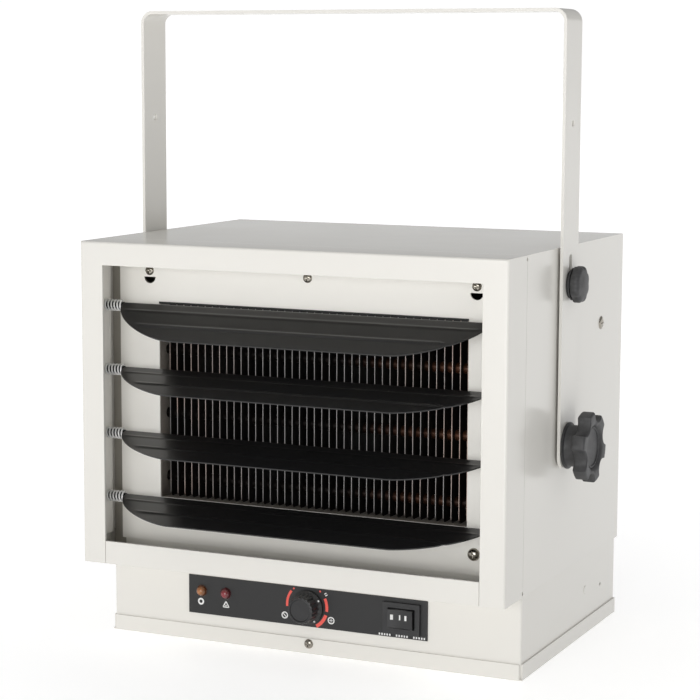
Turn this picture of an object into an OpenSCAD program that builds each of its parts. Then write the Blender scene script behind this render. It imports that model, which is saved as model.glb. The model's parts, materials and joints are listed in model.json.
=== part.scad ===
// Electric fan heater for a ceiling, wall or bench: louvred shroud, sheet steel cabinet,
// control box underneath and a U-bracket that tilts on two star knobs.
// X runs to the right, Y to the back and Z up. The origin is the middle of the base.

/* [Cabinet] */
// Overall width of the shroud and the cabinet
cab_w = 360; // [340:1:400]
// Height of the cabinet top above the base
cab_h = 324; // [316:1:350]
// Depth from the shroud face to the back of the cabinet
cab_d = 276; // [270:1:310]
// Sheet steel thickness
sheet = 1.2; // [0.8:0.1:1.5]
// Outer radius of the folds at the back of the cabinet
cab_r = 4; // [2:0.5:6]
// Depth of the front shroud
shroud_d = 39; // [37:0.5:40]
// Outer radius of the shroud's front folds
shroud_r = 2; // [1:0.25:2.5]
// Face width of the two shroud stiles
stile_w = 20; // [18:0.5:21]
// Face height of the shroud's top and bottom rails
rail_h = 18.4; // [16:0.2:20]
// Open seam between two sheet steel pieces
seam_gap = 0.3; // [0.2:0.05:0.5]
// Radius of the relief holes at the shroud seam
relief_r = 1.5; // [1:0.1:2]

/* [Front panel] */
// Distance from the shroud face to the front panel
panel_setback = 40; // [38:0.5:42]
// Depth of the step around the front panel
panel_step = 6; // [4:0.5:8]
// Distance from the cabinet side in to the raised part of the front panel
panel_inset = 12.5; // [11:0.5:16]
// Height of the panel's raised part above the cabinet floor
panel_rise = 13; // [10:0.5:16]
// Distance from the cabinet top down to the panel's raised part
panel_drop = 11; // [8:0.5:14]
// Width of the air window
window_w = 265.6; // [256:0.2:266]
// Sideways place of the air window's middle
window_x = 1.2; // [-1.2:0.2:1.2]
// Height of the air window's sill above the control box
window_rise = 49.7; // [48.7:0.1:56.7]
// Distance from the cabinet top down to the window
window_drop = 51.3; // [50:0.1:53]
// Half distance between the two outer panel screws
panel_screw_x = 140; // [139:0.5:146]
// Distance from the cabinet top down to the panel screws
panel_screw_drop = 25; // [23:0.5:27]
// Radius of the two half-round vents
vent_r = 5.2; // [4:0.1:6]
// Distance from the cabinet top down to the straight side of the vents
vent_drop = 30.1; // [29:0.1:32]
// Height of the dome screw above the cabinet floor
dome_screw_rise = 29; // [27:0.5:30]

/* [Louvres] */
// Height of the lowest louvre above the control box
louvre_rise = 49.8; // [46:0.1:52]
// Distance from the cabinet top down to the first louvre rod
louvre_drop = 52.8; // [52:0.1:56]
// Distance from the shroud face back to the louvre rods
louvre_setback = 27; // [26:0.5:28]
// Gap between the edge of a closed louvre and the next rod
louvre_gap = 4.8; // [4.3:0.1:11.8]
// Length of the curved end of a blade
louvre_taper = 63; // [50:1:70]
// Width of a blade at its very end
louvre_end = 4; // [3.5:0.25:8]
// Sheet thickness of a blade
louvre_t = 1; // [0.8:0.1:1.4]
// Outer radius of the bead rolled around the rod
bead_r = 3.2; // [3:0.1:3.8]
// Radius of the louvre rods
rod_r = 2; // [1.5:0.1:2.2]
// Downward slope of the first louvre at rest, in degrees
louvre_1_slope = 28.5; // [10:0.5:32]
// Downward slope of the second louvre at rest, in degrees
louvre_2_slope = 15.5; // [10:0.5:20]
// Downward slope of the third louvre at rest, in degrees
louvre_3_slope = 13; // [10:0.5:20]
// Downward slope of the fourth louvre at rest, in degrees
louvre_4_slope = 14; // [10:0.5:20]
// Distance from the cabinet side in to the louvre rails
rail_inset = 7; // [6:0.5:8]
// Length of the springs between rail and blade
spring_len = 17; // [15:0.5:18]
// Outer radius of the springs
spring_r = 4.7; // [4:0.1:5]
// Radius of the spring wire
spring_wire_r = 0.55; // [0.4:0.05:0.7]
// Turns of a spring
spring_turns = 5; // [4:1:6]

/* [Element] */
// Number of fins
fin_count = 41; // [36:1:41]
// Distance from one fin to the next
fin_pitch = 6.45; // [6:0.05:6.45]
// Fin thickness
fin_t = 0.5; // [0.3:0.1:0.7]
// Distance from the shroud face back to the fins
fin_setback = 52.3; // [50.3:0.5:56.3]
// Depth of a fin
fin_d = 38; // [36:0.5:42]
// Radius of the heater tubes
tube_r = 4.25; // [3.5:0.25:4.5]
// Number of heater tubes, one above another
tube_rows = 3; // [2:1:3]
// Height of the lowest row of tubes above the control box
tube_rise = 63.5; // [60:0.5:66]
// Distance between the two runs of one heater tube
tube_gap = 18; // [16:0.5:20]
// Distance from the cabinet top down to the first heater tube
tube_drop = 90.5; // [88:0.5:94]

/* [Fan] */
// Distance from the fan's tips down to the cabinet floor
fan_margin = 36.2; // [33.2:0.2:48.2]
// Number of fan blades
blade_count = 5; // [3:1:7]
// Radius of the fan hub
hub_r = 22; // [18:0.5:26]
// Length of the fan hub
hub_len = 22; // [20:0.5:26]
// Radius of the fan shaft
shaft_r = 4; // [3:0.25:5]
// Radius of the motor
motor_r = 42; // [36:1:48]
// Length of the motor
motor_len = 50; // [46:1:54]
// Distance from the fan's tips out to the edge of the rear intake
intake_gap = 4; // [2:0.5:6]

/* [Control box] */
// Height of the control box under the cabinet
box_h = 66; // [64:0.5:70]
// Distance from the cabinet side in to the control box
box_inset = 2.5; // [2:0.1:6]
// Distance from the shroud face back to the control box
box_setback = 44; // [43:0.5:46]
// Height of the lip around the bottom tray
tray_lip = 12.5; // [11:0.5:14]
// Width of the black control plate
plate_w = 209; // [200:1:220]
// Height of the black control plate
plate_h = 31.5; // [30:0.5:34]
// Sideways place of the plate's middle
plate_x = -3.2; // [-5:0.2:5]
// Height of the plate's middle above the base
plate_z = 37.8; // [36:0.2:40]
// Distance from the left end of the plate to the amber lamp
amber_inset = 11.9; // [9.7:0.1:15]
// Distance between the two lamps
lamp_pitch = 21.9; // [16:0.1:25]
// Height of both lamps above the base
lamp_z = 41.1; // [40:0.1:43]
// Radius of the lamp lenses
lens_r = 4.8; // [4:0.1:5.2]
// Distance from the middle of the plate to the thermostat dial
dial_offset = 1.8; // [-3:0.1:6]
// Radius of the thermostat knob's grip
dial_r = 11; // [9:0.25:11.5]
// Radius of the thermostat knob's skirt
dial_skirt_r = 13.7; // [12:0.1:14.5]
// Distance from the right end of the plate to the middle of the switch
switch_inset = 21.4; // [19.2:0.1:27]
// Width of the switch's frame
switch_w = 31; // [30:0.5:33]
// Height of the switch's frame
switch_h = 24.5; // [24:0.5:27]
// Radius of the cable inlet
inlet_r = 6; // [5:0.25:7]
// Sideways place of the cable gland
gland_x = 120; // [110:1:130]

/* [Bracket] */
// Gap between the cabinet side and the bracket arm
bracket_gap = 2; // [1.8:0.1:3]
// Width of the bracket's flat bar
bar_w = 36; // [30:1:40]
// Thickness of the bracket's flat bar
bar_t = 2.5; // [2:0.1:2.8]
// Height of the bracket above the base
bracket_h = 505.5; // [480:0.5:540]
// Outer radius of the bracket's bends
bend_r = 10; // [6:0.5:14]
// Distance from the shroud face back to the tilt axis
pivot_setback = 124.4; // [120:0.2:130]
// Height of the tilt axis above the control box
pivot_rise = 102.8; // [96:0.2:109]
// Length of the arms below the tilt axis
arm_tail = 16.3; // [15:0.1:20]
// Distance between the ceiling screw holes
ceiling_pitch = 103; // [90:1:110]
// Radius of the ceiling screw holes
ceiling_hole_r = 3.5; // [3:0.25:5]
// Distance from the cabinet top down to the lock knob
lock_drop = 28.8; // [26:0.2:34]
// Width of the lock slot
slot_w = 7; // [6.5:0.1:8]
// Length of the lock slot
slot_len = 34; // [30:0.5:38]
// Distance from the lock knob up to the middle of its slot
slot_offset = 6.2; // [4:0.2:8]
// Tilt, in degrees, of the second lock hole in the cabinet side
index_angle = 47; // [40:1:50]

/* [Knobs] */
// Tip radius of the star knobs
star_r = 28; // [24:0.5:30]
// Number of lobes of a star knob
star_lobes = 6; // [5:1:7]
// Thickness of a star knob's head
star_t = 10; // [8:0.5:12]
// Distance from the bracket to the outside of a star knob
star_reach = 21.8; // [18:0.2:26]
// Radius of the pivot studs
stud_r = 4; // [3.5:0.25:4.5]
// Radius of the lock knobs
lock_r = 14.5; // [13:0.5:16]
// Thickness of the lock knobs
lock_t = 10.5; // [8:0.5:12]
// Radius of the lock studs
lock_stud_r = 3; // [2.5:0.25:3.2]

/* [Hidden] */
$fn = 48;
// Overrun of a cutting body
over = 1;
// Gap between faces that lie on each other in two bodies
face_gap = 0.1;
// Radial clearance of a shaft or rod that turns in its hole
run_gap = 0.06;
// Radial clearance of a screw or stud in a plain hole
hole_gap = 0.3;
// Radial clearance of a piece fixed on its shaft
fit_gap = 0.02;

front_y = -cab_d / 2;
back_y = cab_d / 2;
side_x = cab_w / 2;
seam_y = front_y + shroud_d;
panel_y = front_y + panel_setback;
panel_back_y = panel_y + panel_step;
panel_w = cab_w - 2 * panel_inset;
box_w = cab_w - 2 * box_inset;
cab_inner_x = side_x - sheet;
// Where the rear panel lies inside the cabinet's rear flange
rear_y = back_y - 2 * sheet;
rear_flange = 14;
front_flange = 12;
opening_half = side_x - stile_w;
hem = 1.6;
// Window, louvres and fan share these heights
window_top = cab_h - window_drop;
window_z = box_h + window_rise;
window_h = window_top - window_z;
fan_z = window_z + window_h / 2;
louvre_z = cab_h - louvre_drop;
louvre_y = front_y + louvre_setback;
louvre_count = 4;
louvre_pitch = (louvre_z - box_h - louvre_rise) / (louvre_count - 1);
louvre_c = louvre_pitch - louvre_gap;
louvre_slopes = [louvre_1_slope, louvre_2_slope, louvre_3_slope, louvre_4_slope];
rail_x = side_x - rail_inset;
louvre_half = rail_x - spring_len;
rail_back_gap = 5.5;
// Curve of the blade ends: power of the rounded outline and steps along it
end_power = 1.5;
end_steps = 12;
rib_share = 0.6;
rib_r = 0.7;
pin_out = 2.5;

// Heater element
duct_side_gap = 3;
duct_half = window_w / 2 + duct_side_gap;
duct_floor_drop = 1.6;
duct_z = window_z - duct_floor_drop;
duct_top = window_top + duct_floor_drop;
duct_y = panel_y + sheet;
fin_y = front_y + fin_setback;
duct_tail = 12;
duct_back_y = fin_y + fin_d + duct_tail;
duct_flange = 13;
duct_flange_top = cab_h - panel_screw_drop + duct_flange / 2;
duct_flange_z = box_h + dome_screw_rise - duct_flange / 2;
fin_gap = 0.2;
fin_cut = 3;
tube_z = cab_h - tube_drop;
tube_row_pitch = (tube_z - box_h - tube_rise) / (tube_rows - 1);
tube_y = fin_y + fin_d / 2;
tube_out = 6;
insulator_r = 3.2;
insulator_len = 8;
tab_r = 2;
tab_len = 10;
cutout_r = 8;
cutout_h = 6;
cutout_x = 60;

// Fan and motor
fan_r = fan_z - box_h - fan_margin;
intake_r = fan_r + intake_gap;
strap_t = 2;
strap_w = 30;
strap_stand = 12;
strap_overlap = 16;
strap_half = intake_r + strap_overlap;
strap_y = rear_y - strap_stand;
motor_back_y = strap_y - strap_t;
motor_y = motor_back_y - motor_len;
hub_gap = 5;
hub_y = motor_y - hub_gap - hub_len;
nose_len = 4;
blade_t = 1.5;
blade_chord = 46;
blade_twist = 28;
collar_gap = 4;
collar_len = 26;
baffle_y = hub_y - 6 * sheet;
boss_r = 12;
boss_len = 3;
shaft_depth = 30;

// Rear guard: flat rings and spokes on short posts
guard_rings = 5;
guard_wire = 2.4;
guard_stand = 4;
guard_hub_r = 16;
guard_spokes = 8;
guard_overlap = 8;
guard_r = intake_r + guard_overlap;
guard_y = rear_y + sheet + guard_stand;
post_r = 3.5;
guard_pitch = (guard_r - guard_hub_r) / guard_rings;

// Control box
box_front_y = front_y + box_setback;
box_rear_gap = 2;
box_back_y = back_y - box_rear_gap;
box_flange = 10;
plate_t = 1;
plate_y = box_front_y - plate_t;
amber_x = plate_x - plate_w / 2 + amber_inset;
red_x = amber_x + lamp_pitch;
dial_x = plate_x + dial_offset;
switch_x = plate_x + plate_w / 2 - switch_inset;
lens_shank_r = 3.2;
lens_shank_len = 7;
lamp_r = 5.5;
lamp_len = 16;
spindle_r = 3;
dial_gap = 0.4;
dial_skirt_t = 2.4;
dial_h = 13;
dial_flutes = 16;
dial_flute_r = 1.3;
dial_recess = 0.8;
thermostat_w = 36;
thermostat_h = 28;
thermostat_d = 26;
switch_lip = 2;
switch_wall = 2.2;
switch_body_d = 24;
switch_back = 3;
rocker_gap = 1;
rocker_out = 2.6;
rocker_d = 6;
rocker_pin_r = 1.5;
rocker_pin_out = 1;
gland_z = 33;
gland_r = 12;
gland_len = 16;
gland_neck_r = 8;
gland_nut_t = 4;
lip_screw_z = 8.2;
mark_y = 58;
mark_z = 36.5;
mark_r = 3.5;
mark_h = 0.5;
side_hole_y = 98;
side_hole_z = 32.6;
side_hole_r = 1.5;
tray_corner_gap = 1;

// Inside the control box
relay_size = [46, 46, 36];
relay_at = [-120, 20];
block_size = [60, 20, 14];
block_at = [86, 84];
block_poles = 3;
pole_r = 2.6;
pole_h = 3;
lead_r = 1.3;
joint_extra = 0.05;
grommet_r = 8;
grommet_hole_r = 5;
grommet_flange = 2;
grommet_lip = 1.4;
power_hole = [158, -20];
bulb_hole = [-152, 112];
bulb_r = 3;
bulb_len = 60;
bulb_rise = 30;
bulb_gap = 0.2;
bulb_z = box_h + bulb_rise;
bulb_y = rear_y - bulb_r - bulb_gap;
clip_h = 8;
capillary_r = 0.9;

// Screws
screw_r = 2;
screw_head_r = 3.8;
screw_head_h = 2;
screw_len = 6;
cross_w = 0.8;
cross_depth = 1;
dome_r = 5.2;
case_inset = 7;
index_head_r = 5.4;
index_head_h = 1.5;

// Bracket, studs and knobs
arm_inner_x = side_x + bracket_gap;
arm_x = arm_inner_x + bar_t;
pivot_y = front_y + pivot_setback;
pivot_z = box_h + pivot_rise;
lock_z = cab_h - lock_drop;
lock_rise = lock_z - pivot_z;
arm_end_r = 10;
arm_hole_r = 2.5;
arm_hole_drop = 87;
washer_r = 12;
nut_r = 7.5;
nut_h = 6;
nut_fillet = 0.2;
nut_room = 1;
stud_in = 12;
stud_grip = 12;
star_valley_r = 9.5;
star_skirt_r = 18.3;
star_neck_r = 15;
star_turn = -15.5;
star_ring_r = 15.8;
star_ring_h = 0.9;
star_ring_w = 1.2;
lock_flutes = 8;
lock_flute_r = 7;
lock_flute_depth = 1.3;
lock_washer_r = 11;
lock_washer_t = 1.6;
lock_grip = 5;

// Colours
paint = "#EDEBE4";
black_paint = "#1C1C1D";
steel = "#B9BBBD";
dark_plastic = "#4A4A49";

// A block given by two opposite corners
module slab(low, high) translate(low) cube(high - low);

// Round bars along each axis, from one end to the other
module bar_x(from, to, r) translate([from, 0, 0]) rotate([0, 90, 0]) cylinder(r = r, h = to - from);
module bar_y(from, to, r) translate([0, from, 0]) rotate([-90, 0, 0]) cylinder(r = r, h = to - from);

// The same thing on the left and on the right
module both_sides() for (side = [0, 1]) mirror([side, 0, 0]) children();

// Rectangle with round corners
module round_rect(w, d, r) {
    square([w - 2 * r, d], center = true);
    square([w, d - 2 * r], center = true);
    for (i = [-1, 1], j = [-1, 1]) translate([i * (w / 2 - r), j * (d / 2 - r)]) circle(r);
}

// Pan head screw along -Y, its head's underside at the origin
module pan_screw(head_r = screw_head_r, head_h = screw_head_h) {
    difference() {
        bar_y(-head_h, 0, head_r);
        for (turn = [0, 90]) rotate([0, turn, 0])
            slab([-head_r / 2, -head_h - over, -cross_w / 2],
                [head_r / 2, -head_h + cross_depth, cross_w / 2]);
    }
    bar_y(0, screw_len, screw_r);
}

// Insulated lead: straight runs with a ball at each turn
module lead(points, r) {
    for (i = [0 : len(points) - 2]) {
        run = points[i + 1] - points[i];
        translate(points[i])
            rotate([0, acos(run[2] / norm(run)), atan2(run[1], run[0])])
            cylinder(r = r, h = norm(run), $fn = 16);
    }
    for (i = [1 : len(points) - 2]) translate(points[i]) sphere(r + joint_extra, $fn = 16);
}

module shroud_frame() color(paint) {
    h = cab_h - box_h;
    difference() {
        intersection() {
            translate([0, 0, box_h]) linear_extrude(h)
                translate([0, (front_y + seam_y + shroud_r) / 2])
                    round_rect(cab_w, shroud_d + shroud_r, shroud_r);
            translate([-side_x, 0, 0]) rotate([90, 0, 90]) linear_extrude(cab_w)
                translate([(front_y + seam_y + shroud_r) / 2, cab_h - h / 2 - shroud_r / 2])
                round_rect(shroud_d + shroud_r, h + shroud_r, shroud_r);
            slab([-side_x, front_y, box_h], [side_x, seam_y, cab_h]);
        }
        slab([-side_x + sheet, front_y + sheet, box_h - over],
            [side_x - sheet, seam_y + over, cab_h - sheet]);
        slab([-opening_half, front_y - over, box_h - over],
            [opening_half, front_y + 2 * sheet, cab_h - rail_h]);
        for (z = [box_h + 2 * relief_r, cab_h - 2 * relief_r])
            translate([0, seam_y, z]) bar_x(-side_x - over, side_x + over, relief_r);
    }
    // Hem folded back behind the opening's edges
    hem_top = cab_h - rail_h + 2 * hem;
    both_sides() slab([opening_half, front_y + sheet, box_h + rail_h],
        [opening_half + 2 * hem, front_y + 2 * sheet, hem_top]);
    slab([-opening_half, front_y + sheet, cab_h - rail_h], [opening_half, front_y + 2 * sheet, hem_top]);
    // Tongues that lap the seam inside the cabinet
    y0 = panel_y - rail_back_gap + seam_gap;
    y1 = panel_back_y - seam_gap;
    both_sides() slab([cab_inner_x - sheet, y0, box_h + rail_h], [cab_inner_x, y1, cab_h - rail_h]);
    slab([-opening_half, y0, cab_h - 2 * sheet], [opening_half, y1, cab_h - sheet]);
}

module shroud_rail() color(paint) {
    half = opening_half - seam_gap;
    floor_half = cab_inner_x - seam_gap;
    slab([-half, front_y, box_h], [half, front_y + sheet, box_h + rail_h]);
    slab([-half, front_y, box_h], [half, seam_y, box_h + sheet]);
    slab([-floor_half, front_y + 2 * sheet, box_h], [floor_half, seam_y, box_h + sheet]);
    slab([-half, front_y + sheet, box_h + rail_h - 2 * hem], [half, front_y + 2 * sheet, box_h + rail_h]);
    // Tabs that hold the rail behind the two stiles
    both_sides() slab([opening_half - rail_h, front_y + sheet, box_h],
        [opening_half + stile_w / 2, front_y + 2 * sheet, box_h + rail_h - 2 * hem]);
}

module louvre_rails() color(paint) {
    z0 = box_h + rail_h;
    z1 = cab_h - rail_h + 3 * hem;
    y0 = front_y + sheet;
    y1 = panel_y - rail_back_gap;
    both_sides() difference() {
        union() {
            slab([rail_x, y0, z0], [rail_x + sheet, y1, z1]);
            slab([rail_x, y0, z0], [cab_inner_x, y0 + sheet, z1]);
            slab([rail_x, y1 - sheet, z0], [cab_inner_x, y1, z1]);
        }
        for (i = [0 : louvre_count - 1])
            translate([0, louvre_y, louvre_z - i * louvre_pitch])
            bar_x(rail_x - over, rail_x + sheet + over, rod_r + run_gap);
    }
}

module cabinet_wrapper() color(paint) {
    y0 = seam_y + seam_gap;
    depth = back_y - y0;
    h = cab_h - box_h;
    difference() {
        intersection() {
            translate([0, (y0 + back_y - cab_r) / 2, box_h]) linear_extrude(h)
                round_rect(cab_w, depth + cab_r, cab_r);
            translate([-side_x, 0, 0]) rotate([90, 0, 90]) linear_extrude(cab_w)
                translate([(y0 + back_y - cab_r) / 2, cab_h - (h + cab_r) / 2])
                round_rect(depth + cab_r, h + cab_r, cab_r);
            slab([-side_x, y0, box_h], [side_x, back_y, cab_h]);
        }
        // Inside of the folded sheet, open below
        slab([-cab_inner_x, panel_back_y + 2 * sheet, box_h - over],
            [cab_inner_x, back_y - sheet, cab_h - sheet]);
        slab([-cab_inner_x, y0 - over, box_h - over], [cab_inner_x, panel_back_y + sheet, cab_h - sheet]);
        // Front and rear flanges
        slab([-cab_inner_x + front_flange, y0, box_h - over],
            [cab_inner_x - front_flange, panel_back_y + 3 * sheet, cab_h - sheet - front_flange / 2]);
        slab([-cab_inner_x + rear_flange, rear_y, box_h - over],
            [cab_inner_x - rear_flange, back_y + over, cab_h - sheet - rear_flange]);
        slab([-cab_inner_x, y0, box_h - over], [cab_inner_x, rear_y, box_h + sheet]);
        for (z = [box_h + 2 * relief_r, cab_h - 2 * relief_r])
            translate([0, seam_y, z]) bar_x(-side_x - over, side_x + over, relief_r);
        side_holes(stud_r + hole_gap, lock_stud_r + hole_gap, screw_r + hole_gap);
        case_screw_places() bar_y(-over, 2 * sheet, screw_r + hole_gap);
    }
}

// Pivot, lock and index holes through both cabinet sides
module side_holes(pivot_hole, lock_hole, index_hole) {
    for (hole = [[0, 0, pivot_hole], [lock_rise, 0, lock_hole], [lock_rise, index_angle, index_hole]])
        translate([0, pivot_y + hole[0] * sin(hole[1]), pivot_z + hole[0] * cos(hole[1])])
        both_sides() bar_x(cab_inner_x - over, side_x + over, hole[2]);
}

module front_panel() color(paint) {
    z0 = box_h + panel_rise;
    z1 = cab_h - panel_drop;
    half = panel_w / 2;
    edge = cab_inner_x - seam_gap;
    difference() {
        union() {
            slab([-half, panel_y, z0], [half, panel_y + sheet, z1]);
            difference() {
                slab([-half, panel_y, z0], [half, panel_back_y + sheet, z1]);
                slab([-half + sheet, panel_y - over, z0 + sheet],
                    [half - sheet, panel_back_y + 2 * sheet, z1 - sheet]);
            }
            difference() {
                slab([-edge, panel_back_y, box_h + 2 * sheet],
                    [edge, panel_back_y + sheet, cab_h - sheet - seam_gap]);
                slab([-half + sheet, panel_back_y - over, z0 + sheet],
                    [half - sheet, panel_back_y + 2 * sheet, z1 - sheet]);
            }
        }
        slab([window_x - window_w / 2, panel_y - over, window_z],
            [window_x + window_w / 2, panel_y + sheet + over, window_top]);
        vents(vent_r);
        panel_screw_places() bar_y(-over, sheet + over, screw_r + hole_gap);
    }
}

// Half-round vents with the straight side up, through the panel and what lies behind it
module vents(r) both_sides() translate([panel_screw_x, 0, cab_h - vent_drop]) intersection() {
    bar_y(panel_y - over, panel_back_y, r);
    slab([-r, panel_y - over, -r], [r, panel_back_y, 0]);
}

// Places of the pan head screws that hold the duct behind the front panel, and of the dome screw
module panel_screw_places() {
    for (i = [-1 : 1]) translate([i * panel_screw_x, panel_y, cab_h - panel_screw_drop]) children();
    translate([panel_screw_x, panel_y, box_h + dome_screw_rise]) children();
}

module rear_panel() color(paint) {
    half = cab_inner_x - seam_gap;
    difference() {
        slab([-half, rear_y, box_h + 2 * sheet], [half, rear_y + sheet, cab_h - sheet - seam_gap]);
        translate([0, 0, fan_z]) bar_y(rear_y - over, back_y, intake_r);
        case_screw_places() bar_y(-over, 4 * sheet, screw_r + fit_gap);
    }
    // Clips round the thermostat's sensing bulb
    for (i = [1, 3]) translate([bulb_hole[0], bulb_y, bulb_z + i * bulb_len / 4]) difference() {
        slab([-bulb_r - sheet, -bulb_r - sheet, -clip_h / 2],
            [bulb_r + sheet, rear_y - bulb_y, clip_h / 2]);
        translate([0, 0, -clip_h]) cylinder(r = bulb_r + run_gap, h = 2 * clip_h);
    }
}

// Screws around the back of the cabinet, from the outside inwards
module case_screw_places()
    for (i = [-1, 1], j = [0, 1, 2])
        translate([i * (cab_inner_x - case_inset), back_y, box_h + rail_h])
        translate([0, 0, j * (cab_h - box_h - 2 * rail_h) / 2])
        mirror([0, 1, 0]) children();

module fan_guard() color(steel) {
    translate([0, 0, fan_z]) {
        translate([0, guard_y + guard_wire, 0]) rotate([90, 0, 0]) linear_extrude(guard_wire) {
            for (i = [0 : guard_rings - 1]) difference() {
                circle(guard_hub_r + (i + 1) * guard_pitch);
                circle(guard_hub_r + (i + 1) * guard_pitch - guard_wire);
            }
            circle(guard_hub_r);
            for (i = [0 : guard_spokes - 1]) rotate(i * 360 / guard_spokes)
                translate([guard_hub_r - guard_wire, -guard_wire / 2])
                    square([guard_r - guard_hub_r, guard_wire]);
        }
        for (i = [0 : guard_spokes - 1]) rotate([0, (i + 1 / 2) * 360 / guard_spokes, 0])
            translate([guard_r - guard_wire / 2, 0, 0])
                bar_y(rear_y + sheet, guard_y + guard_wire, post_r);
    }
}

module floor_plate() color(steel) difference() {
    slab([-cab_inner_x, seam_y + seam_gap, box_h], [cab_inner_x, rear_y - seam_gap, box_h + sheet]);
    for (hole = [power_hole, bulb_hole])
        translate([hole[0], hole[1], box_h - over])
        cylinder(r = grommet_r - grommet_flange + fit_gap, h = sheet + 2 * over);
}

module control_box() color(paint) {
    half = box_w / 2;
    difference() {
        translate([0, (box_front_y + box_back_y) / 2, sheet]) linear_extrude(box_h - sheet)
            difference() {
                round_rect(box_w, box_back_y - box_front_y, shroud_r);
                translate([0, sheet])
                    square([box_w - 2 * sheet, box_back_y - box_front_y], center = true);
            }
        // Openings behind the control plate
        for (x = [amber_x, red_x]) translate([x, 0, lamp_z])
            bar_y(box_front_y - over, box_front_y + sheet + over, lens_shank_r + fit_gap);
        translate([dial_x, 0, plate_z])
            bar_y(box_front_y - over, box_front_y + sheet + over, spindle_r + hole_gap);
        switch_cutout(box_front_y - over, box_front_y + sheet + over);
        translate([0, 0, lip_screw_z])
            bar_y(box_front_y - over, box_front_y + sheet + over, screw_r + fit_gap);
        translate([0, side_hole_y, side_hole_z]) bar_x(half - sheet - over, half + over, side_hole_r);
    }
    // Flange under the cabinet floor
    both_sides() slab([half - sheet - box_flange, box_front_y + sheet, box_h - sheet],
        [half - sheet, box_back_y - 2 * sheet, box_h]);
    // Pressed mark on the right side
    translate([half - sheet / 2, mark_y, mark_z]) rotate([0, 90, 0])
        cylinder(r = mark_r, h = sheet / 2 + mark_h);
}

// Rectangular hole for the switch body
module switch_cutout(from, to) {
    w = switch_w - 2 * switch_lip;
    h = switch_h - 2 * switch_lip;
    slab([switch_x - w / 2, from, plate_z - h / 2], [switch_x + w / 2, to, plate_z + h / 2]);
}

module bottom_tray() color(paint) {
    half = box_w / 2 + sheet;
    y0 = box_front_y - sheet;
    difference() {
        union() {
            slab([-half, y0, 0], [half, box_back_y, sheet]);
            slab([-half + tray_corner_gap + sheet, y0, 0],
                [half - tray_corner_gap - sheet, box_front_y, tray_lip]);
            both_sides() slab([half - sheet, box_front_y + tray_corner_gap, 0],
                [half, box_back_y, tray_lip]);
            slab([-box_w / 2 + sheet + seam_gap, box_back_y - sheet, 0],
                [box_w / 2 - sheet - seam_gap, box_back_y, box_h - seam_gap]);
        }
        translate([0, 0, lip_screw_z]) bar_y(y0 - over, box_front_y + over, screw_r + hole_gap);
        translate([gland_x, 0, gland_z])
            bar_y(box_back_y - 2 * sheet, box_back_y + over, gland_neck_r + fit_gap);
    }
}

module control_plate() color(black_paint) difference() {
    slab([plate_x - plate_w / 2, plate_y, plate_z - plate_h / 2],
        [plate_x + plate_w / 2, box_front_y, plate_z + plate_h / 2]);
    for (x = [amber_x, red_x]) translate([x, 0, lamp_z])
        bar_y(plate_y - over, box_front_y + over, lens_shank_r + fit_gap);
    translate([dial_x, 0, plate_z]) bar_y(plate_y - over, box_front_y + over, spindle_r + hole_gap);
    switch_cutout(plate_y - over, box_front_y + over);
}

module lens(x) translate([x, 0, lamp_z]) {
    intersection() {
        translate([0, plate_y, 0]) sphere(lens_r);
        slab([-lens_r, plate_y - lens_r, -lens_r], [lens_r, plate_y, lens_r]);
    }
    bar_y(plate_y - face_gap, plate_y + lens_shank_len, lens_shank_r);
}

module amber_lens() color("#B9641E") lens(amber_x);
module red_lens() color("#9C1B26") lens(red_x);

module lamp_bodies() color(dark_plastic)
    for (x = [amber_x, red_x]) translate([x, 0, lamp_z]) difference() {
        bar_y(box_front_y + sheet, box_front_y + sheet + lamp_len, lamp_r);
        bar_y(box_front_y, plate_y + lens_shank_len + fit_gap, lens_shank_r + fit_gap);
    }

module switch_housing() color(black_paint) {
    y_front = plate_y - switch_lip;
    w = switch_w - 2 * switch_lip;
    h = switch_h - 2 * switch_lip;
    cavity_back = plate_y + rocker_d + switch_back;
    difference() {
        union() {
            slab([switch_x - switch_w / 2, y_front, plate_z - switch_h / 2],
                [switch_x + switch_w / 2, plate_y, plate_z + switch_h / 2]);
            slab([switch_x - w / 2 + fit_gap, y_front, plate_z - h / 2 + fit_gap],
                [switch_x + w / 2 - fit_gap, plate_y + switch_body_d, plate_z + h / 2 - fit_gap]);
        }
        slab([switch_x - w / 2 + switch_wall, y_front - over, plate_z - h / 2 + switch_wall],
            [switch_x + w / 2 - switch_wall, cavity_back, plate_z + h / 2 - switch_wall]);
        translate([switch_x, plate_y + rocker_d / 2, plate_z - h / 2 + switch_wall])
            translate([0, 0, -rocker_pin_out - run_gap])
            cylinder(r = rocker_pin_r + run_gap,
                h = h - 2 * switch_wall + 2 * (rocker_pin_out + run_gap));
    }
}

module power_rocker() color(black_paint) {
    w = switch_w - 2 * switch_lip - 2 * switch_wall - 2 * rocker_gap;
    h = switch_h - 2 * switch_lip - 2 * switch_wall - 2 * rocker_gap / 2;
    slab([switch_x - w / 2, plate_y - switch_lip - rocker_out, plate_z - h / 2],
        [switch_x + w / 2, plate_y + rocker_d, plate_z + h / 2]);
    translate([switch_x, plate_y + rocker_d / 2, plate_z - h / 2 - rocker_gap / 2 - rocker_pin_out])
        cylinder(r = rocker_pin_r, h = h + rocker_gap + 2 * rocker_pin_out);
}

module thermostat_body() color(steel) difference() {
    slab([dial_x - thermostat_w / 2, box_front_y + sheet, plate_z - thermostat_h / 2],
        [dial_x + thermostat_w / 2, box_front_y + sheet + thermostat_d, plate_z + thermostat_h / 2]);
    translate([dial_x, 0, plate_z])
        bar_y(box_front_y, box_front_y + sheet + thermostat_d / 2, spindle_r + run_gap);
}

module thermostat_spindle() color(steel) translate([dial_x, 0, plate_z])
    bar_y(plate_y - dial_h + dial_skirt_t, box_front_y + sheet + thermostat_d / 2 - face_gap, spindle_r);

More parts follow.
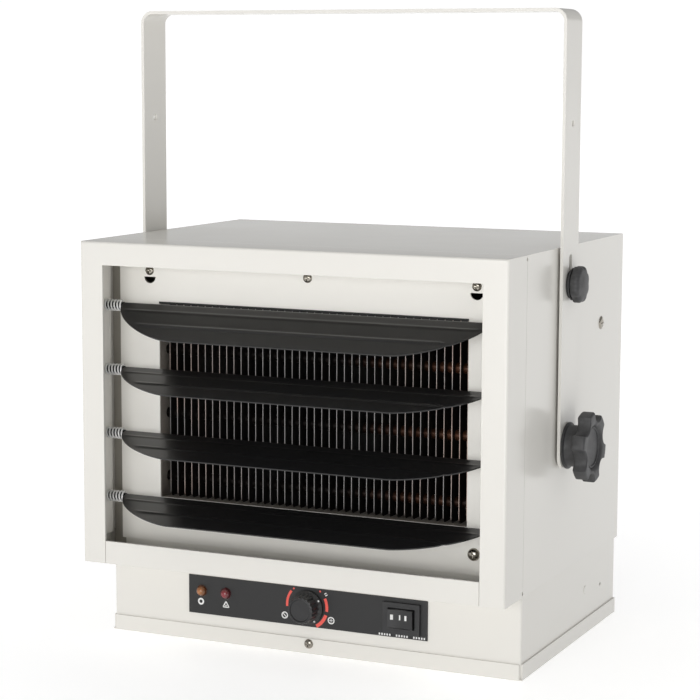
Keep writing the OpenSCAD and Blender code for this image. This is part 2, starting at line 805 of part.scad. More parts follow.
module thermostat_knob() color(dark_plastic) translate([dial_x, plate_y - dial_gap, plate_z])
    difference() {
    union() {
        bar_y(-dial_skirt_t, 0, dial_skirt_r);
        difference() {
            bar_y(-dial_h, 0, dial_r);
            for (i = [0 : dial_flutes - 1]) rotate([0, i * 360 / dial_flutes, 0])
                translate([dial_r + dial_flute_r / 2, 0, 0])
                    bar_y(-dial_h - over, -dial_skirt_t, dial_flute_r);
            bar_y(-dial_h - over, -dial_h + dial_recess, dial_r - 2 * dial_flute_r);
        }
    }
    bar_y(-dial_h + dial_skirt_t, over, spindle_r + fit_gap);
}

module capillary() color("#B87333") {
    y = box_front_y + sheet + thermostat_d / 2;
    z = box_h - box_flange;
    bend_z = (box_h + bulb_z) / 2;
    lead([[dial_x - thermostat_w / 2, y, plate_z], [dial_x - thermostat_w, y, plate_z],
        [dial_x - thermostat_w, y, z],
        [bulb_hole[0], y, z], [bulb_hole[0], bulb_hole[1], z], [bulb_hole[0], bulb_hole[1], bend_z],
        [bulb_hole[0], bulb_y, bend_z], [bulb_hole[0], bulb_y, bulb_z]], capillary_r);
    translate([bulb_hole[0], bulb_y, bulb_z]) cylinder(r = bulb_r, h = bulb_len);
}

module element_duct() color(steel) difference() {
    union() {
        slab([-duct_half - sheet, duct_y, duct_z - sheet],
            [duct_half + sheet, duct_back_y, duct_top + sheet]);
        slab([-panel_screw_x - duct_flange / 2, duct_y, duct_flange_z],
            [panel_screw_x + duct_flange / 2, duct_y + sheet, duct_flange_top]);
    }
    slab([-duct_half, duct_y + sheet, duct_z], [duct_half, duct_back_y + over, duct_top]);
    slab([window_x - window_w / 2, duct_y - over, window_z],
        [window_x + window_w / 2, duct_y + 2 * sheet, window_top]);
    tube_places() both_sides() bar_x(duct_half - over, duct_half + sheet + over, tube_r + run_gap);
    panel_screw_places() bar_y(0, 3 * sheet, screw_r + fit_gap);
    vents(vent_r + hole_gap);
}

// Both runs of every heater tube
module tube_places()
    for (i = [0 : tube_rows - 1], j = [-1, 1])
        translate([0, tube_y + j * tube_gap / 2, tube_z - i * tube_row_pitch]) children();

// Fins stand on the duct's floor, with their two lower corners cut off
module element_fins() color("#8E8A86") difference() {
    low = duct_z + fin_gap;
    high = duct_top - fin_gap;
    end_y = fin_y + fin_d;
    for (i = [0 : fin_count - 1])
        translate([(i - (fin_count - 1) / 2) * fin_pitch - fin_t / 2, 0, 0]) rotate([90, 0, 90])
        linear_extrude(fin_t)
        polygon([[fin_y, low + fin_cut], [fin_y + fin_cut, low], [end_y - fin_cut, low],
            [end_y, low + fin_cut], [end_y, high], [fin_y, high]]);
    tube_places() bar_x(-duct_half, duct_half, tube_r + run_gap);
}

module element_tubes() color("#7C4A33") {
    bend_x = -duct_half - sheet - tube_out;
    end_x = duct_half + sheet + tube_out;
    tube_places() bar_x(bend_x, end_x, tube_r);
    for (i = [0 : tube_rows - 1]) translate([bend_x, tube_y, tube_z - i * tube_row_pitch])
        rotate([0, 0, 90]) rotate_extrude(angle = 180) translate([tube_gap / 2, 0]) circle(tube_r);
}

module element_terminals() color("#E3DED2") {
    x = duct_half + sheet + tube_out;
    tube_places() {
        bar_x(x, x + insulator_len, insulator_r);
        bar_x(x + insulator_len, x + insulator_len + tab_len, tab_r);
    }
}

module thermal_cutout() color("#2B2B2B") {
    translate([cutout_x, tube_y, duct_top + sheet]) {
        cylinder(r = cutout_r, h = cutout_h);
        translate([0, 0, cutout_h / 2]) both_sides()
            slab([0, -screw_r, 0], [2 * cutout_r, screw_r, sheet]);
        slab([-3 * cutout_r / 2, -cutout_r / 2, 0], [3 * cutout_r / 2, cutout_r / 2, sheet]);
    }
}

module fan_baffle() color(steel) {
    collar_r = fan_r + collar_gap;
    difference() {
        union() {
            slab([-cab_inner_x, baffle_y, box_h + sheet], [cab_inner_x, baffle_y + sheet, cab_h - sheet]);
            translate([0, 0, fan_z]) bar_y(baffle_y, baffle_y + collar_len, collar_r + sheet);
        }
        translate([0, 0, fan_z]) bar_y(baffle_y - over, baffle_y + collar_len + over, collar_r);
        // Room for the weld nuts behind the index screws
        index_place() both_sides()
            bar_x(cab_inner_x - nut_h - nut_room, cab_inner_x + over, nut_r + nut_room);
    }
}

module motor() color("#3A3C40") translate([0, 0, fan_z]) difference() {
    union() {
        bar_y(motor_y, motor_back_y, motor_r);
        bar_y(motor_y - boss_len, motor_y, boss_r);
        bar_y(motor_y + motor_len / 4, motor_y + 3 * motor_len / 4, motor_r + boss_len);
    }
    bar_y(motor_y - boss_len - over, motor_y + shaft_depth, shaft_r + run_gap);
}

module motor_strap() color(steel) difference() {
    union() {
        slab([-strap_half, motor_back_y, fan_z - strap_w / 2],
            [strap_half, strap_y, fan_z + strap_w / 2]);
        both_sides() slab([strap_half - strap_t, motor_back_y, fan_z - strap_w / 2],
            [strap_half, rear_y, fan_z + strap_w / 2]);
        both_sides() slab([strap_half - strap_t, rear_y - strap_t, fan_z - strap_w / 2],
            [strap_half + strap_w / 2, rear_y, fan_z + strap_w / 2]);
    }
    translate([0, 0, fan_z]) bar_y(motor_back_y - over, strap_y + over, boss_r);
}

module fan_shaft() color(steel) translate([0, 0, fan_z])
    bar_y(hub_y - nose_len, motor_y + shaft_depth - face_gap, shaft_r);

module fan() color("#C9CBCC") translate([0, 0, fan_z]) difference() {
    union() {
        bar_y(hub_y, hub_y + hub_len, hub_r);
        intersection() {
            bar_y(hub_y - hub_len, hub_y + 2 * hub_len, fan_r);
            for (i = [0 : blade_count - 1]) rotate([0, i * 360 / blade_count, 0])
                translate([hub_r - blade_t, hub_y + hub_len / 2, 0]) rotate([blade_twist, 0, 0])
                slab([0, -blade_t / 2, -blade_chord / 2], [fan_r, blade_t / 2, blade_chord / 2]);
        }
    }
    bar_y(hub_y - over, hub_y + hub_len + over, shaft_r + fit_gap);
}

module terminal_block() color("#E6E3D8") translate([block_at[0], block_at[1], sheet]) {
    difference() {
        translate([0, 0, block_size[2] / 2]) cube(block_size, center = true);
        for (i = [-1 : 1]) translate([i * block_size[0] / block_poles, 0, block_size[2] - pole_h])
            cylinder(r = pole_r, h = pole_h + over);
    }
    for (i = [-1 : 1]) translate([i * block_size[0] / block_poles, 0, block_size[2] - pole_h])
        cylinder(r = pole_r - run_gap, h = pole_h / 2);
}

module relay() color("#2E3136") translate([relay_at[0], relay_at[1], sheet]) {
    translate([0, 0, relay_size[2] / 2]) cube(relay_size, center = true);
    slab([-relay_size[0] / 2 - screw_head_r, -relay_size[1] / 4, 0],
        [relay_size[0] / 2 + screw_head_r, relay_size[1] / 4, 2 * sheet]);
}

// Where the leads run: under the floor, up through it and out to the element's terminals
lead_top = box_h - box_flange - 3 * lead_r;
block_top = sheet + block_size[2];
relay_top = sheet + relay_size[2];
terminal_x = duct_half + sheet + tube_out + insulator_len + tab_len;
link_x = terminal_x + 3 * lead_r;
row_y = tube_y + tube_gap / 2;
last_tube_z = tube_z - (tube_rows - 1) * tube_row_pitch;

module power_leads() color("#1F1F22") {
    pole = block_at[0] - block_size[0] / block_poles;
    contact = relay_at[0] + relay_size[0] / 4;
    switch_back_y = plate_y + 2 * switch_body_d;
    motor_lead_y = motor_back_y - motor_len / 8;
    // Terminal block to relay
    lead([[pole, block_at[1], block_top - pole_h / 2], [pole, block_at[1], lead_top],
        [relay_at[0], block_at[1], lead_top], [relay_at[0], relay_at[1], lead_top],
        [relay_at[0], relay_at[1], relay_top]], lead_r);
    // Relay to the first tube
    out_x = power_hole[0] - 2 * lead_r;
    out_z = lead_top - 4 * lead_r;
    high_z = tube_z + 4 * lead_r;
    lead([[contact, relay_at[1], relay_top], [contact, relay_at[1], out_z], [out_x, relay_at[1], out_z],
        [out_x, power_hole[1], out_z], [out_x, power_hole[1], high_z], [link_x, power_hole[1], high_z],
        [link_x, row_y, high_z], [link_x, row_y, tube_z], [terminal_x, row_y, tube_z]], lead_r);
    // Last tube to the terminal block
    back_x = power_hole[0] + 2 * lead_r;
    last_y = row_y - (tube_rows % 2) * tube_gap;
    low_z = last_tube_z - 8 * lead_r;
    block_z = block_top + 4 * lead_r;
    lead([[terminal_x, last_y, last_tube_z], [link_x, last_y, last_tube_z], [link_x, last_y, low_z],
        [link_x, power_hole[1], low_z], [back_x, power_hole[1], low_z], [back_x, power_hole[1], block_z],
        [back_x, block_at[1], block_z], [block_at[0], block_at[1], block_z],
        [block_at[0], block_at[1], block_top - pole_h / 2]], lead_r);
    // Links that join the tubes end to end
    for (i = [1 : tube_rows - 1]) {
        y = row_y - (i % 2) * tube_gap;
        z = tube_z - i * tube_row_pitch;
        lead([[terminal_x, y, z + tube_row_pitch], [link_x, y, z + tube_row_pitch], [link_x, y, z],
            [terminal_x, y, z]], lead_r);
    }
    // Switch to relay
    lead([[switch_x, plate_y + switch_body_d, plate_z], [switch_x, switch_back_y, plate_z],
        [switch_x, switch_back_y, lead_top],
        [contact, switch_back_y, lead_top], [contact, relay_at[1] - relay_size[1] / 4, lead_top],
        [contact, relay_at[1] - relay_size[1] / 4, relay_top]], lead_r);
    // Motor to relay
    lead([[0, motor_lead_y, fan_z - motor_r], [0, motor_lead_y, bulb_z - 2 * bulb_r],
        [bulb_hole[0] + 2 * lead_r, motor_lead_y, bulb_z - 2 * bulb_r],
        [bulb_hole[0] + 2 * lead_r, bulb_hole[1], bulb_z - 2 * bulb_r],
            [bulb_hole[0] + 2 * lead_r, bulb_hole[1], lead_top - 4 * lead_r],
        [relay_at[0] - relay_size[0] / 4, bulb_hole[1], lead_top - 4 * lead_r],
            [relay_at[0] - relay_size[0] / 4, relay_at[1], lead_top - 4 * lead_r],
        [relay_at[0] - relay_size[0] / 4, relay_at[1], relay_top]], lead_r);
}

module earth_lead() color("#7FA436") {
    x = block_at[0] + block_size[0] / block_poles;
    y = block_at[1] - 2 * block_size[1];
    z = block_top + lead_r;
    lead([[x, block_at[1], block_top - pole_h / 2], [x, block_at[1], z], [x, y, z],
        [x, y, 3 * sheet]], lead_r);
    translate([x, y, sheet]) cylinder(r = screw_head_r, h = 2 * sheet);
}

module grommets() color("#1A1A1A") for (hole = [power_hole, bulb_hole])
    translate([hole[0], hole[1], box_h - grommet_lip]) difference() {
        union() {
            cylinder(r = grommet_r, h = grommet_lip);
            cylinder(r = grommet_r - grommet_flange, h = 2 * grommet_lip + sheet);
            translate([0, 0, grommet_lip + sheet]) cylinder(r = grommet_r, h = grommet_lip);
        }
        translate([0, 0, -over]) cylinder(r = grommet_hole_r, h = 2 * grommet_lip + sheet + 2 * over);
    }

module cable_gland() color("#26272A") translate([gland_x, 0, gland_z]) difference() {
    union() {
        bar_y(box_back_y - sheet - gland_nut_t, box_back_y + gland_len, gland_neck_r);
        bar_y(box_back_y, box_back_y + gland_len / 2, gland_r);
        translate([0, box_back_y - sheet, 0]) rotate([90, 0, 0])
            cylinder(r = gland_r, h = gland_nut_t, $fn = 6);
    }
    bar_y(box_back_y - sheet - gland_nut_t - over, box_back_y + gland_len + over, inlet_r);
}

module pivot_washers() color("#202020") translate([0, pivot_y, pivot_z]) both_sides() difference() {
    bar_x(side_x, arm_inner_x - face_gap, washer_r);
    bar_x(side_x - over, arm_inner_x + over, stud_r + hole_gap);
}

module weld_nuts() color(steel) both_sides()
    for (nut = [[0, 0, stud_r], [lock_rise, 0, lock_stud_r], [lock_rise, index_angle, screw_r]])
        translate([cab_inner_x - nut_h, pivot_y + nut[0] * sin(nut[1]), pivot_z + nut[0] * cos(nut[1])])
        rotate([0, 90, 0]) difference() {
            cylinder(r = nut_r, h = nut_h, $fn = 6);
            translate([0, 0, -over]) cylinder(r = nut[2] + run_gap, h = nut_h + 2 * over);
        }

// Where the second lock hole lies on the circle about the tilt axis
module index_place()
    translate([0, pivot_y + lock_rise * sin(index_angle), pivot_z + lock_rise * cos(index_angle)]) children();

module index_screws() color(steel) index_place() both_sides()
    translate([side_x, 0, 0]) rotate([0, 0, 90]) pan_screw(index_head_r, index_head_h);

module panel_screws() color(steel) {
    for (i = [-1 : 1]) translate([i * panel_screw_x, panel_y, cab_h - panel_screw_drop]) pan_screw();
    translate([panel_screw_x, panel_y, box_h + dome_screw_rise]) {
        intersection() {
            translate([0, dome_r / 4, 0]) sphere(dome_r);
            slab([-dome_r, -dome_r, -dome_r], [dome_r, 0, dome_r]);
        }
        bar_y(-face_gap, screw_len, screw_r);
    }
}

module case_screws() color(steel) {
    case_screw_places() pan_screw();
    translate([0, box_front_y - sheet, lip_screw_z]) pan_screw();
}

// Helix swept with a small hexagon, closed at both ends
module coil(length, r, wire, turns) {
    steps = 14 * turns;
    sides = 6;
    rise = length - 2 * wire;
    points = [for (i = [0 : steps], j = [0 : sides - 1])
        let (a = 360 * turns * i / steps, b = 360 * j / sides, q = r + wire * cos(b))
        [wire + rise * i / steps + wire * sin(b), q * cos(a), q * sin(a)]];
    walls = [for (i = [0 : steps - 1], j = [0 : sides - 1]) let (k = (j + 1) % sides)
        [i * sides + j, i * sides + k, (i + 1) * sides + k, (i + 1) * sides + j]];
    ends = [[for (j = [sides - 1 : -1 : 0]) j], [for (j = [0 : sides - 1]) steps * sides + j]];
    polyhedron(points, concat(walls, ends));
}

module louvre_springs() color(steel)
    for (i = [0 : louvre_count - 1])
        translate([-rail_x + fit_gap, louvre_y, louvre_z - i * louvre_pitch])
        coil(spring_len - hole_gap, spring_r - spring_wire_r, spring_wire_r, spring_turns);

// Half outline of a blade: straight in the middle, then curved in to the rod
function blade_edge(u) = louvre_end + (louvre_c - louvre_end) * pow(1 - pow(u, end_power), 1 / end_power);
blade_outline = concat(
    [[louvre_half, 0]],
    [for (i = [end_steps : -1 : 0]) let (u = i / end_steps)
        [louvre_half - louvre_taper * (1 - u), -blade_edge(u)]],
    [for (i = [0 : end_steps]) let (u = i / end_steps)
        [-louvre_half + louvre_taper * (1 - u), -blade_edge(u)]],
    [[-louvre_half, 0]]);

module louvre(i) color(black_paint)
    translate([0, louvre_y, louvre_z - i * louvre_pitch]) rotate([louvre_slopes[i], 0, 0]) difference() {
        union() {
            translate([0, 0, bead_r - louvre_t]) linear_extrude(louvre_t) polygon(blade_outline);
            bar_x(-louvre_half, louvre_half, bead_r);
            translate([0, -louvre_c * rib_share, bead_r - rib_r / 4])
                bar_x(-louvre_half + louvre_taper, louvre_half - louvre_taper, rib_r);
        }
        bar_x(-louvre_half - over, louvre_half + over, rod_r + fit_gap);
    }
module louvre_1() louvre(0);
module louvre_2() louvre(1);
module louvre_3() louvre(2);
module louvre_4() louvre(3);

// Rod through the bead, with a spacer sleeve at the end that has no spring
module louvre_rod(i) color(steel) translate([0, louvre_y, louvre_z - i * louvre_pitch]) {
    bar_x(-rail_x - pin_out, rail_x + pin_out, rod_r);
    bar_x(louvre_half + face_gap, rail_x - hole_gap, bead_r);
}
module louvre_rod_1() louvre_rod(0);
module louvre_rod_2() louvre_rod(1);
module louvre_rod_3() louvre_rod(2);
module louvre_rod_4() louvre_rod(3);

module bracket() color(paint) {
    tail_z = pivot_z - arm_tail;
    h = bracket_h - tail_z;
    difference() {
        intersection() {
            translate([0, pivot_y + bar_w / 2, tail_z]) rotate([90, 0, 0]) linear_extrude(bar_w)
                difference() {
                translate([0, h / 2 - bend_r]) round_rect(2 * arm_x, h + 2 * bend_r, bend_r);
                translate([0, h / 2 - bend_r - bar_t])
                    round_rect(2 * arm_x - 2 * bar_t, h + 2 * bend_r, bend_r - bar_t);
            }
            translate([-arm_x, pivot_y, tail_z + h / 2 + arm_end_r]) rotate([90, 0, 90])
                linear_extrude(2 * arm_x)
                round_rect(bar_w, h + 2 * arm_end_r, arm_end_r);
        }
        for (i = [-1 : 1]) translate([i * ceiling_pitch, pivot_y, bracket_h - 2 * bar_t])
            cylinder(r = ceiling_hole_r, h = 3 * bar_t);
        translate([0, pivot_y, 0]) both_sides() {
            translate([0, 0, pivot_z]) bar_x(arm_inner_x - over, arm_x + over, stud_r + hole_gap);
            translate([0, 0, bracket_h - arm_hole_drop])
                bar_x(arm_inner_x - over, arm_x + over, arm_hole_r);
            translate([0, 0, lock_z + slot_offset]) {
                for (j = [-1, 1]) translate([0, 0, j * (slot_len - slot_w) / 2])
                    bar_x(arm_inner_x - over, arm_x + over, slot_w / 2);
                slab([arm_inner_x - over, -slot_w / 2, -(slot_len - slot_w) / 2],
                    [arm_x + over, slot_w / 2, (slot_len - slot_w) / 2]);
            }
        }
    }
}

module lock_washers() color(steel) translate([0, pivot_y, lock_z]) both_sides() difference() {
    bar_x(arm_x, arm_x + lock_washer_t, lock_washer_r);
    bar_x(arm_x - over, arm_x + lock_washer_t + over, lock_stud_r + hole_gap);
}

// Star knob on the right side: scalloped head, flared skirt and a low ring round its dish
module star_knob() color(dark_plastic) translate([0, pivot_y, pivot_z]) rotate([star_turn, 0, 0]) {
    x0 = arm_x + face_gap;
    x1 = arm_x + star_reach;
    difference() {
        union() {
            bar_x(x1 - star_t, x1, star_r);
            translate([x0, 0, 0]) rotate([0, 90, 0])
                cylinder(r1 = star_skirt_r, r2 = star_neck_r, h = x1 - star_t - x0);
        }
        for (i = [0 : star_lobes - 1]) rotate([(i + 1 / 2) * 360 / star_lobes, 0, 0])
            translate([0, star_r, 0]) bar_x(x1 - star_t - over, x1 + over, star_valley_r);
        bar_x(x0 - over, x0 + stud_grip, stud_r + fit_gap);
    }
    difference() {
        bar_x(x1, x1 + star_ring_h, star_ring_r);
        bar_x(x1 - over, x1 + star_ring_h + over, star_ring_r - star_ring_w);
    }
}
module star_knob_right() star_knob();
module star_knob_left() mirror([1, 0, 0]) star_knob();

module pivot_stud() color(steel) translate([0, pivot_y, pivot_z])
    bar_x(side_x - stud_in, arm_x + stud_grip, stud_r);
module pivot_stud_right() pivot_stud();
module pivot_stud_left() mirror([1, 0, 0]) pivot_stud();

module lock_knob() color(dark_plastic) translate([0, pivot_y, lock_z]) {
    x0 = arm_x + lock_washer_t + face_gap;
    difference() {
        bar_x(x0, x0 + lock_t, lock_r);
        for (i = [0 : lock_flutes - 1]) rotate([i * 360 / lock_flutes, 0, 0])
            translate([0, lock_r + lock_flute_r - lock_flute_depth, 0])
                bar_x(x0 - over, x0 + lock_t + over, lock_flute_r);
        bar_x(x0 - over, x0 + lock_grip, lock_stud_r + fit_gap);
    }
}
module lock_knob_right() lock_knob();
module lock_knob_left() mirror([1, 0, 0]) lock_knob();

module lock_stud() color(steel) translate([0, pivot_y, lock_z])
    bar_x(arm_inner_x, arm_x + lock_washer_t + lock_grip, lock_stud_r);
module lock_stud_right() lock_stud();
module lock_stud_left() mirror([1, 0, 0]) lock_stud();

shroud_frame();
shroud_rail();
louvre_rails();
cabinet_wrapper();
front_panel();
rear_panel();
fan_guard();
floor_plate();
control_box();
bottom_tray();
control_plate();
amber_lens();
red_lens();
lamp_bodies();
switch_housing();
power_rocker();
thermostat_body();
thermostat_spindle();
thermostat_knob();
capillary();
element_duct();
element_fins();
element_tubes();
element_terminals();
thermal_cutout();
fan_baffle();
motor();
motor_strap();
fan_shaft();
fan();
terminal_block();
relay();
power_leads();
earth_lead();
grommets();
cable_gland();
pivot_washers();
weld_nuts();
index_screws();
panel_screws();
case_screws();
louvre_springs();
bracket();
lock_washers();
star_knob_left();
star_knob_right();
pivot_stud_left();
pivot_stud_right();
lock_knob_left();
lock_knob_right();
lock_stud_left();
lock_stud_right();
louvre_1();
louvre_2();
louvre_3();
louvre_4();
louvre_rod_1();
louvre_rod_2();
louvre_rod_3();
louvre_rod_4();
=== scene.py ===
"""Dresses the electric fan heater: enamelled steel shells, black louvres, hot element and controls.

Every length is in metres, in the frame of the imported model: X to the right, Y to the back, Z up.
"""

import json
import logging
import math
from collections.abc import Mapping, Sequence
from dataclasses import dataclass
from enum import Enum

import bmesh
import bpy
import numpy as np
from mathutils import Matrix, Vector

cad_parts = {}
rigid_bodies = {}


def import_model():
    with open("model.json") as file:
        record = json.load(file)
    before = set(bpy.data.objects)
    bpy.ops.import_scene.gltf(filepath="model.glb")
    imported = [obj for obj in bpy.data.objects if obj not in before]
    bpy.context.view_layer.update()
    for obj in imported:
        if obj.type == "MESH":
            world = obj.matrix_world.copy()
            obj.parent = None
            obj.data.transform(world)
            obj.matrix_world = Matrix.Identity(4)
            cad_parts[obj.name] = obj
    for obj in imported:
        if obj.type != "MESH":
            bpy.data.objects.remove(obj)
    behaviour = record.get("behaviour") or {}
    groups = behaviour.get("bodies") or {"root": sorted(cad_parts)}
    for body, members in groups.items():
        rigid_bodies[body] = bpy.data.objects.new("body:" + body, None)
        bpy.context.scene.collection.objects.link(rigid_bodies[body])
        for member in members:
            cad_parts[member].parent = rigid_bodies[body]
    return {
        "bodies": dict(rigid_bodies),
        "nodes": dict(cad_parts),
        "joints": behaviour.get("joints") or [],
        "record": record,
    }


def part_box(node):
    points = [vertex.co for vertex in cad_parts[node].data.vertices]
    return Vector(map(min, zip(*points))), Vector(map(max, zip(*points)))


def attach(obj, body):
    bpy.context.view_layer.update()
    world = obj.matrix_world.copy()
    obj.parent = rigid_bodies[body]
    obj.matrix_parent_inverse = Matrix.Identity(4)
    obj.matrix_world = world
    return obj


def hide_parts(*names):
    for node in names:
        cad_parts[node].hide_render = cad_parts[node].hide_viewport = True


log = logging.getLogger("fan_heater")

MM = 0.001
Colour = tuple[float, float, float]
Array = np.ndarray
Ring = tuple[float, Array | float]


class Signal:
    """An output socket of a node graph that takes part in arithmetic."""

    def __init__(self, graph: "Graph", socket: bpy.types.NodeSocket) -> None:
        """Keeps the socket and the graph that it belongs to."""
        self.graph = graph
        self.socket = socket

    def other(self, name: str) -> "Signal":
        """Returns another output of the same node, by its name."""
        return Signal(self.graph, self.socket.node.outputs[name])

    def _maths(self, operation: str, *operands: "Signal | float") -> "Signal":
        """Adds one Math node.

        Args:
            operation: The Math node's operation.
            operands: Its inputs, in order.

        Returns:
            The node's value.
        """
        return self.graph.node("ShaderNodeMath", {"operation": operation}, dict(enumerate(operands)))

    def __add__(self, other: "Signal | float") -> "Signal":
        """Returns self + other."""
        return self._maths("ADD", self, other)

    def __radd__(self, other: float) -> "Signal":
        """Returns other + self."""
        return self._maths("ADD", other, self)

    def __sub__(self, other: "Signal | float") -> "Signal":
        """Returns self - other."""
        return self._maths("SUBTRACT", self, other)

    def __rsub__(self, other: float) -> "Signal":
        """Returns other - self."""
        return self._maths("SUBTRACT", other, self)

    def __mul__(self, other: "Signal | float") -> "Signal":
        """Returns self * other."""
        return self._maths("MULTIPLY", self, other)

    def __pow__(self, other: "Signal | float") -> "Signal":
        """Returns self ** other."""
        return self._maths("POWER", self, other)

    def __abs__(self) -> "Signal":
        """Returns the size of self without its sign."""
        return self._maths("ABSOLUTE", self)

    def __lt__(self, other: "Signal | float") -> "Signal":
        """Returns 1 where self is under other, else 0."""
        return self._maths("LESS_THAN", self, other)

    def within(self, low: float, high: float) -> "Signal":
        """Returns self carried from low..high onto 0..1 and held at the ends."""
        return self.graph.node(
            "ShaderNodeMapRange", {"clamp": True}, {"Value": self, "From Min": low, "From Max": high}
        )


class Graph:
    """The node graph of a material or of the surroundings."""

    def __init__(self, tree: bpy.types.NodeTree) -> None:
        """Keeps the tree that the nodes are added to."""
        self.tree = tree

    def feed(self, item: bpy.types.Node, inputs: Mapping[str | int, object]) -> None:
        """Links each Signal to its input socket of the node, and sets each plain value there."""
        for key, value in inputs.items():
            if isinstance(value, Signal):
                self.tree.links.new(value.socket, item.inputs[key])
            else:
                item.inputs[key].default_value = value

    def node(
        self,
        kind: str,
        settings: Mapping[str, object] | None = None,
        inputs: Mapping[str | int, object] | None = None,
        output: str | int = 0,
    ) -> Signal:
        """Adds a node of any type.

        Args:
            kind: The node's type name.
            settings: Attributes to set first; "stops" holds a ramp's places and colours.
            inputs: A value or a Signal for each input socket, by name or number.
            output: The output that is returned.

        Returns:
            The chosen output.
        """
        item = self.tree.nodes.new(kind)
        for key, value in (settings or {}).items():
            if key != "stops":
                setattr(item, key, value)
                continue
            elements = item.color_ramp.elements
            while len(elements) < len(value):
                elements.new(1.0)
            for element, (place, colour) in zip(elements, value):
                element.position = place
                element.color = (*colour, 1.0)
        self.feed(item, inputs or {})
        return Signal(self, item.outputs[output])

    def place(self) -> Signal:
        """Returns the point's place in the shared frame, in metres."""
        return self.node("ShaderNodeTexCoord", output="Object")

    def parts(self) -> Signal:
        """Returns the place's X; its other outputs are Y and Z."""
        return self.node("ShaderNodeSeparateXYZ", inputs={"Vector": self.place()})

    def stretched(self, scale: tuple[float, float, float]) -> Signal:
        """Returns the point's place with each axis scaled, for streaks and grain."""
        return self.node("ShaderNodeMapping", inputs={"Vector": self.place(), "Scale": scale})

    def noise(self, scale: float, detail: float = 2.0, at: Signal | None = None) -> Signal:
        """Returns soft noise from 0 to 1.

        Args:
            scale: Cells per metre.
            detail: Finer octaves that are added.
            at: The place that is read, or the point's own place.

        Returns:
            The noise value.
        """
        return self.node(
            "ShaderNodeTexNoise",
            inputs={"Vector": at or self.place(), "Scale": scale, "Detail": detail, "Roughness": 0.55},
        )

    def blend(self, share: Signal | float, first: "Signal | Colour", second: "Signal | Colour") -> Signal:
        """Mixes two colours.

        Args:
            share: 0 gives the first colour and 1 the second.
            first: A colour or a colour Signal.
            second: A colour or a colour Signal.

        Returns:
            The mixed colour.
        """
        ends = [c if isinstance(c, Signal) else (*c, 1.0) for c in (first, second)]
        return self.node(
            "ShaderNodeMix", {"data_type": "RGBA"}, {0: share, 6: ends[0], 7: ends[1]}, output=2
        )

    def relief(self, height: Signal, depth: float, strength: float = 1.0) -> Signal:
        """Returns the normal of a surface whose height varies.

        Args:
            height: The height, from 0 to 1.
            depth: What a height of 1 stands for, in metres.
            strength: How strongly it shows.

        Returns:
            The bumped normal.
        """
        return self.node(
            "ShaderNodeBump", inputs={"Strength": strength, "Distance": depth, "Height": height}
        )

    def surface(self, **inputs: object) -> None:
        """Closes the graph with one Principled surface.

        Args:
            inputs: Its sockets, with underscores for the blanks in their names.
        """
        named = {key.replace("_", " "): value for key, value in inputs.items()}
        for key, value in named.items():
            if isinstance(value, tuple) and len(value) == 3:
                named[key] = (*value, 1.0)
        shader = self.node("ShaderNodeBsdfPrincipled", inputs=named)
        self.feed(self.tree.nodes.new("ShaderNodeOutputMaterial"), {"Surface": shader})


def toned(colour: Colour, share: float) -> Colour:
    """Returns the colour with each channel multiplied by the share, up to 1."""
    return tuple(min(1.0, channel * share) for channel in colour)


@dataclass(frozen=True)
class Finish:
    """A finish: its name, and what it gives the inputs of a Principled surface."""

    name: str

    def sockets(self, graph: Graph) -> dict[str, object]:
        """Returns the surface's inputs, with underscores for the blanks in their names."""
        raise NotImplementedError

    def material(self) -> bpy.types.Material:
        """Returns a new material with this finish."""
        material = bpy.data.materials.new(self.name)
        material.use_nodes = True
        material.node_tree.nodes.clear()
        graph = Graph(material.node_tree)
        graph.surface(**self.sockets(graph))
        return material


@dataclass(frozen=True)
class Enamel(Finish):
    """Stoved enamel on sheet steel: an even coat with a faint orange peel."""

    colour: Colour
    roughness: float
    mottle: float = 0.03
    peel: float = 0.00001
    peel_scale: float = 380.0
    coat: float = 0.0
    coat_roughness: float = 0.08
    drift_scale: float = 12.0
    unevenness: float = 0.06

    def sockets(self, graph: Graph) -> dict[str, object]:
        """Returns the enamel: its tone and roughness drift over some 80 mm and its skin is rippled."""
        drift = graph.noise(self.drift_scale, 3.0)
        shade = toned(self.colour, 1.0 - self.mottle)
        return dict(
            Base_Color=graph.blend(drift, self.colour, shade),
            Roughness=self.roughness + (drift - 0.5) * self.unevenness,
            Coat_Weight=self.coat,
            Coat_Roughness=self.coat_roughness,
            Normal=graph.relief(graph.noise(self.peel_scale, 1.0), self.peel, 0.5),
        )


@dataclass(frozen=True)
class PanelEnamel(Enamel):
    """Enamel on the front panel, whose recessed border is painted darker as painted shade, and left duller."""

    # Darker colour of the recessed border: painted shade.
    border_shade: Colour = (0.42, 0.395, 0.345)
    half_width: float = 167.6 * MM
    border_fade: float = 0.3 * MM
    border_dullness: float = 0.15

    def sockets(self, graph: Graph) -> dict[str, object]:
        """Returns the enamel; further out than half the panel's raised width it is darker, as painted shade of
        the recessed border, and rougher.
        """
        inputs = super().sockets(graph)
        border = abs(graph.parts()).within(self.half_width, self.half_width + self.border_fade)
        inputs["Base_Color"] = graph.blend(border, inputs["Base_Color"], self.border_shade)
        inputs["Roughness"] = inputs["Roughness"] + border * self.border_dullness
        return inputs


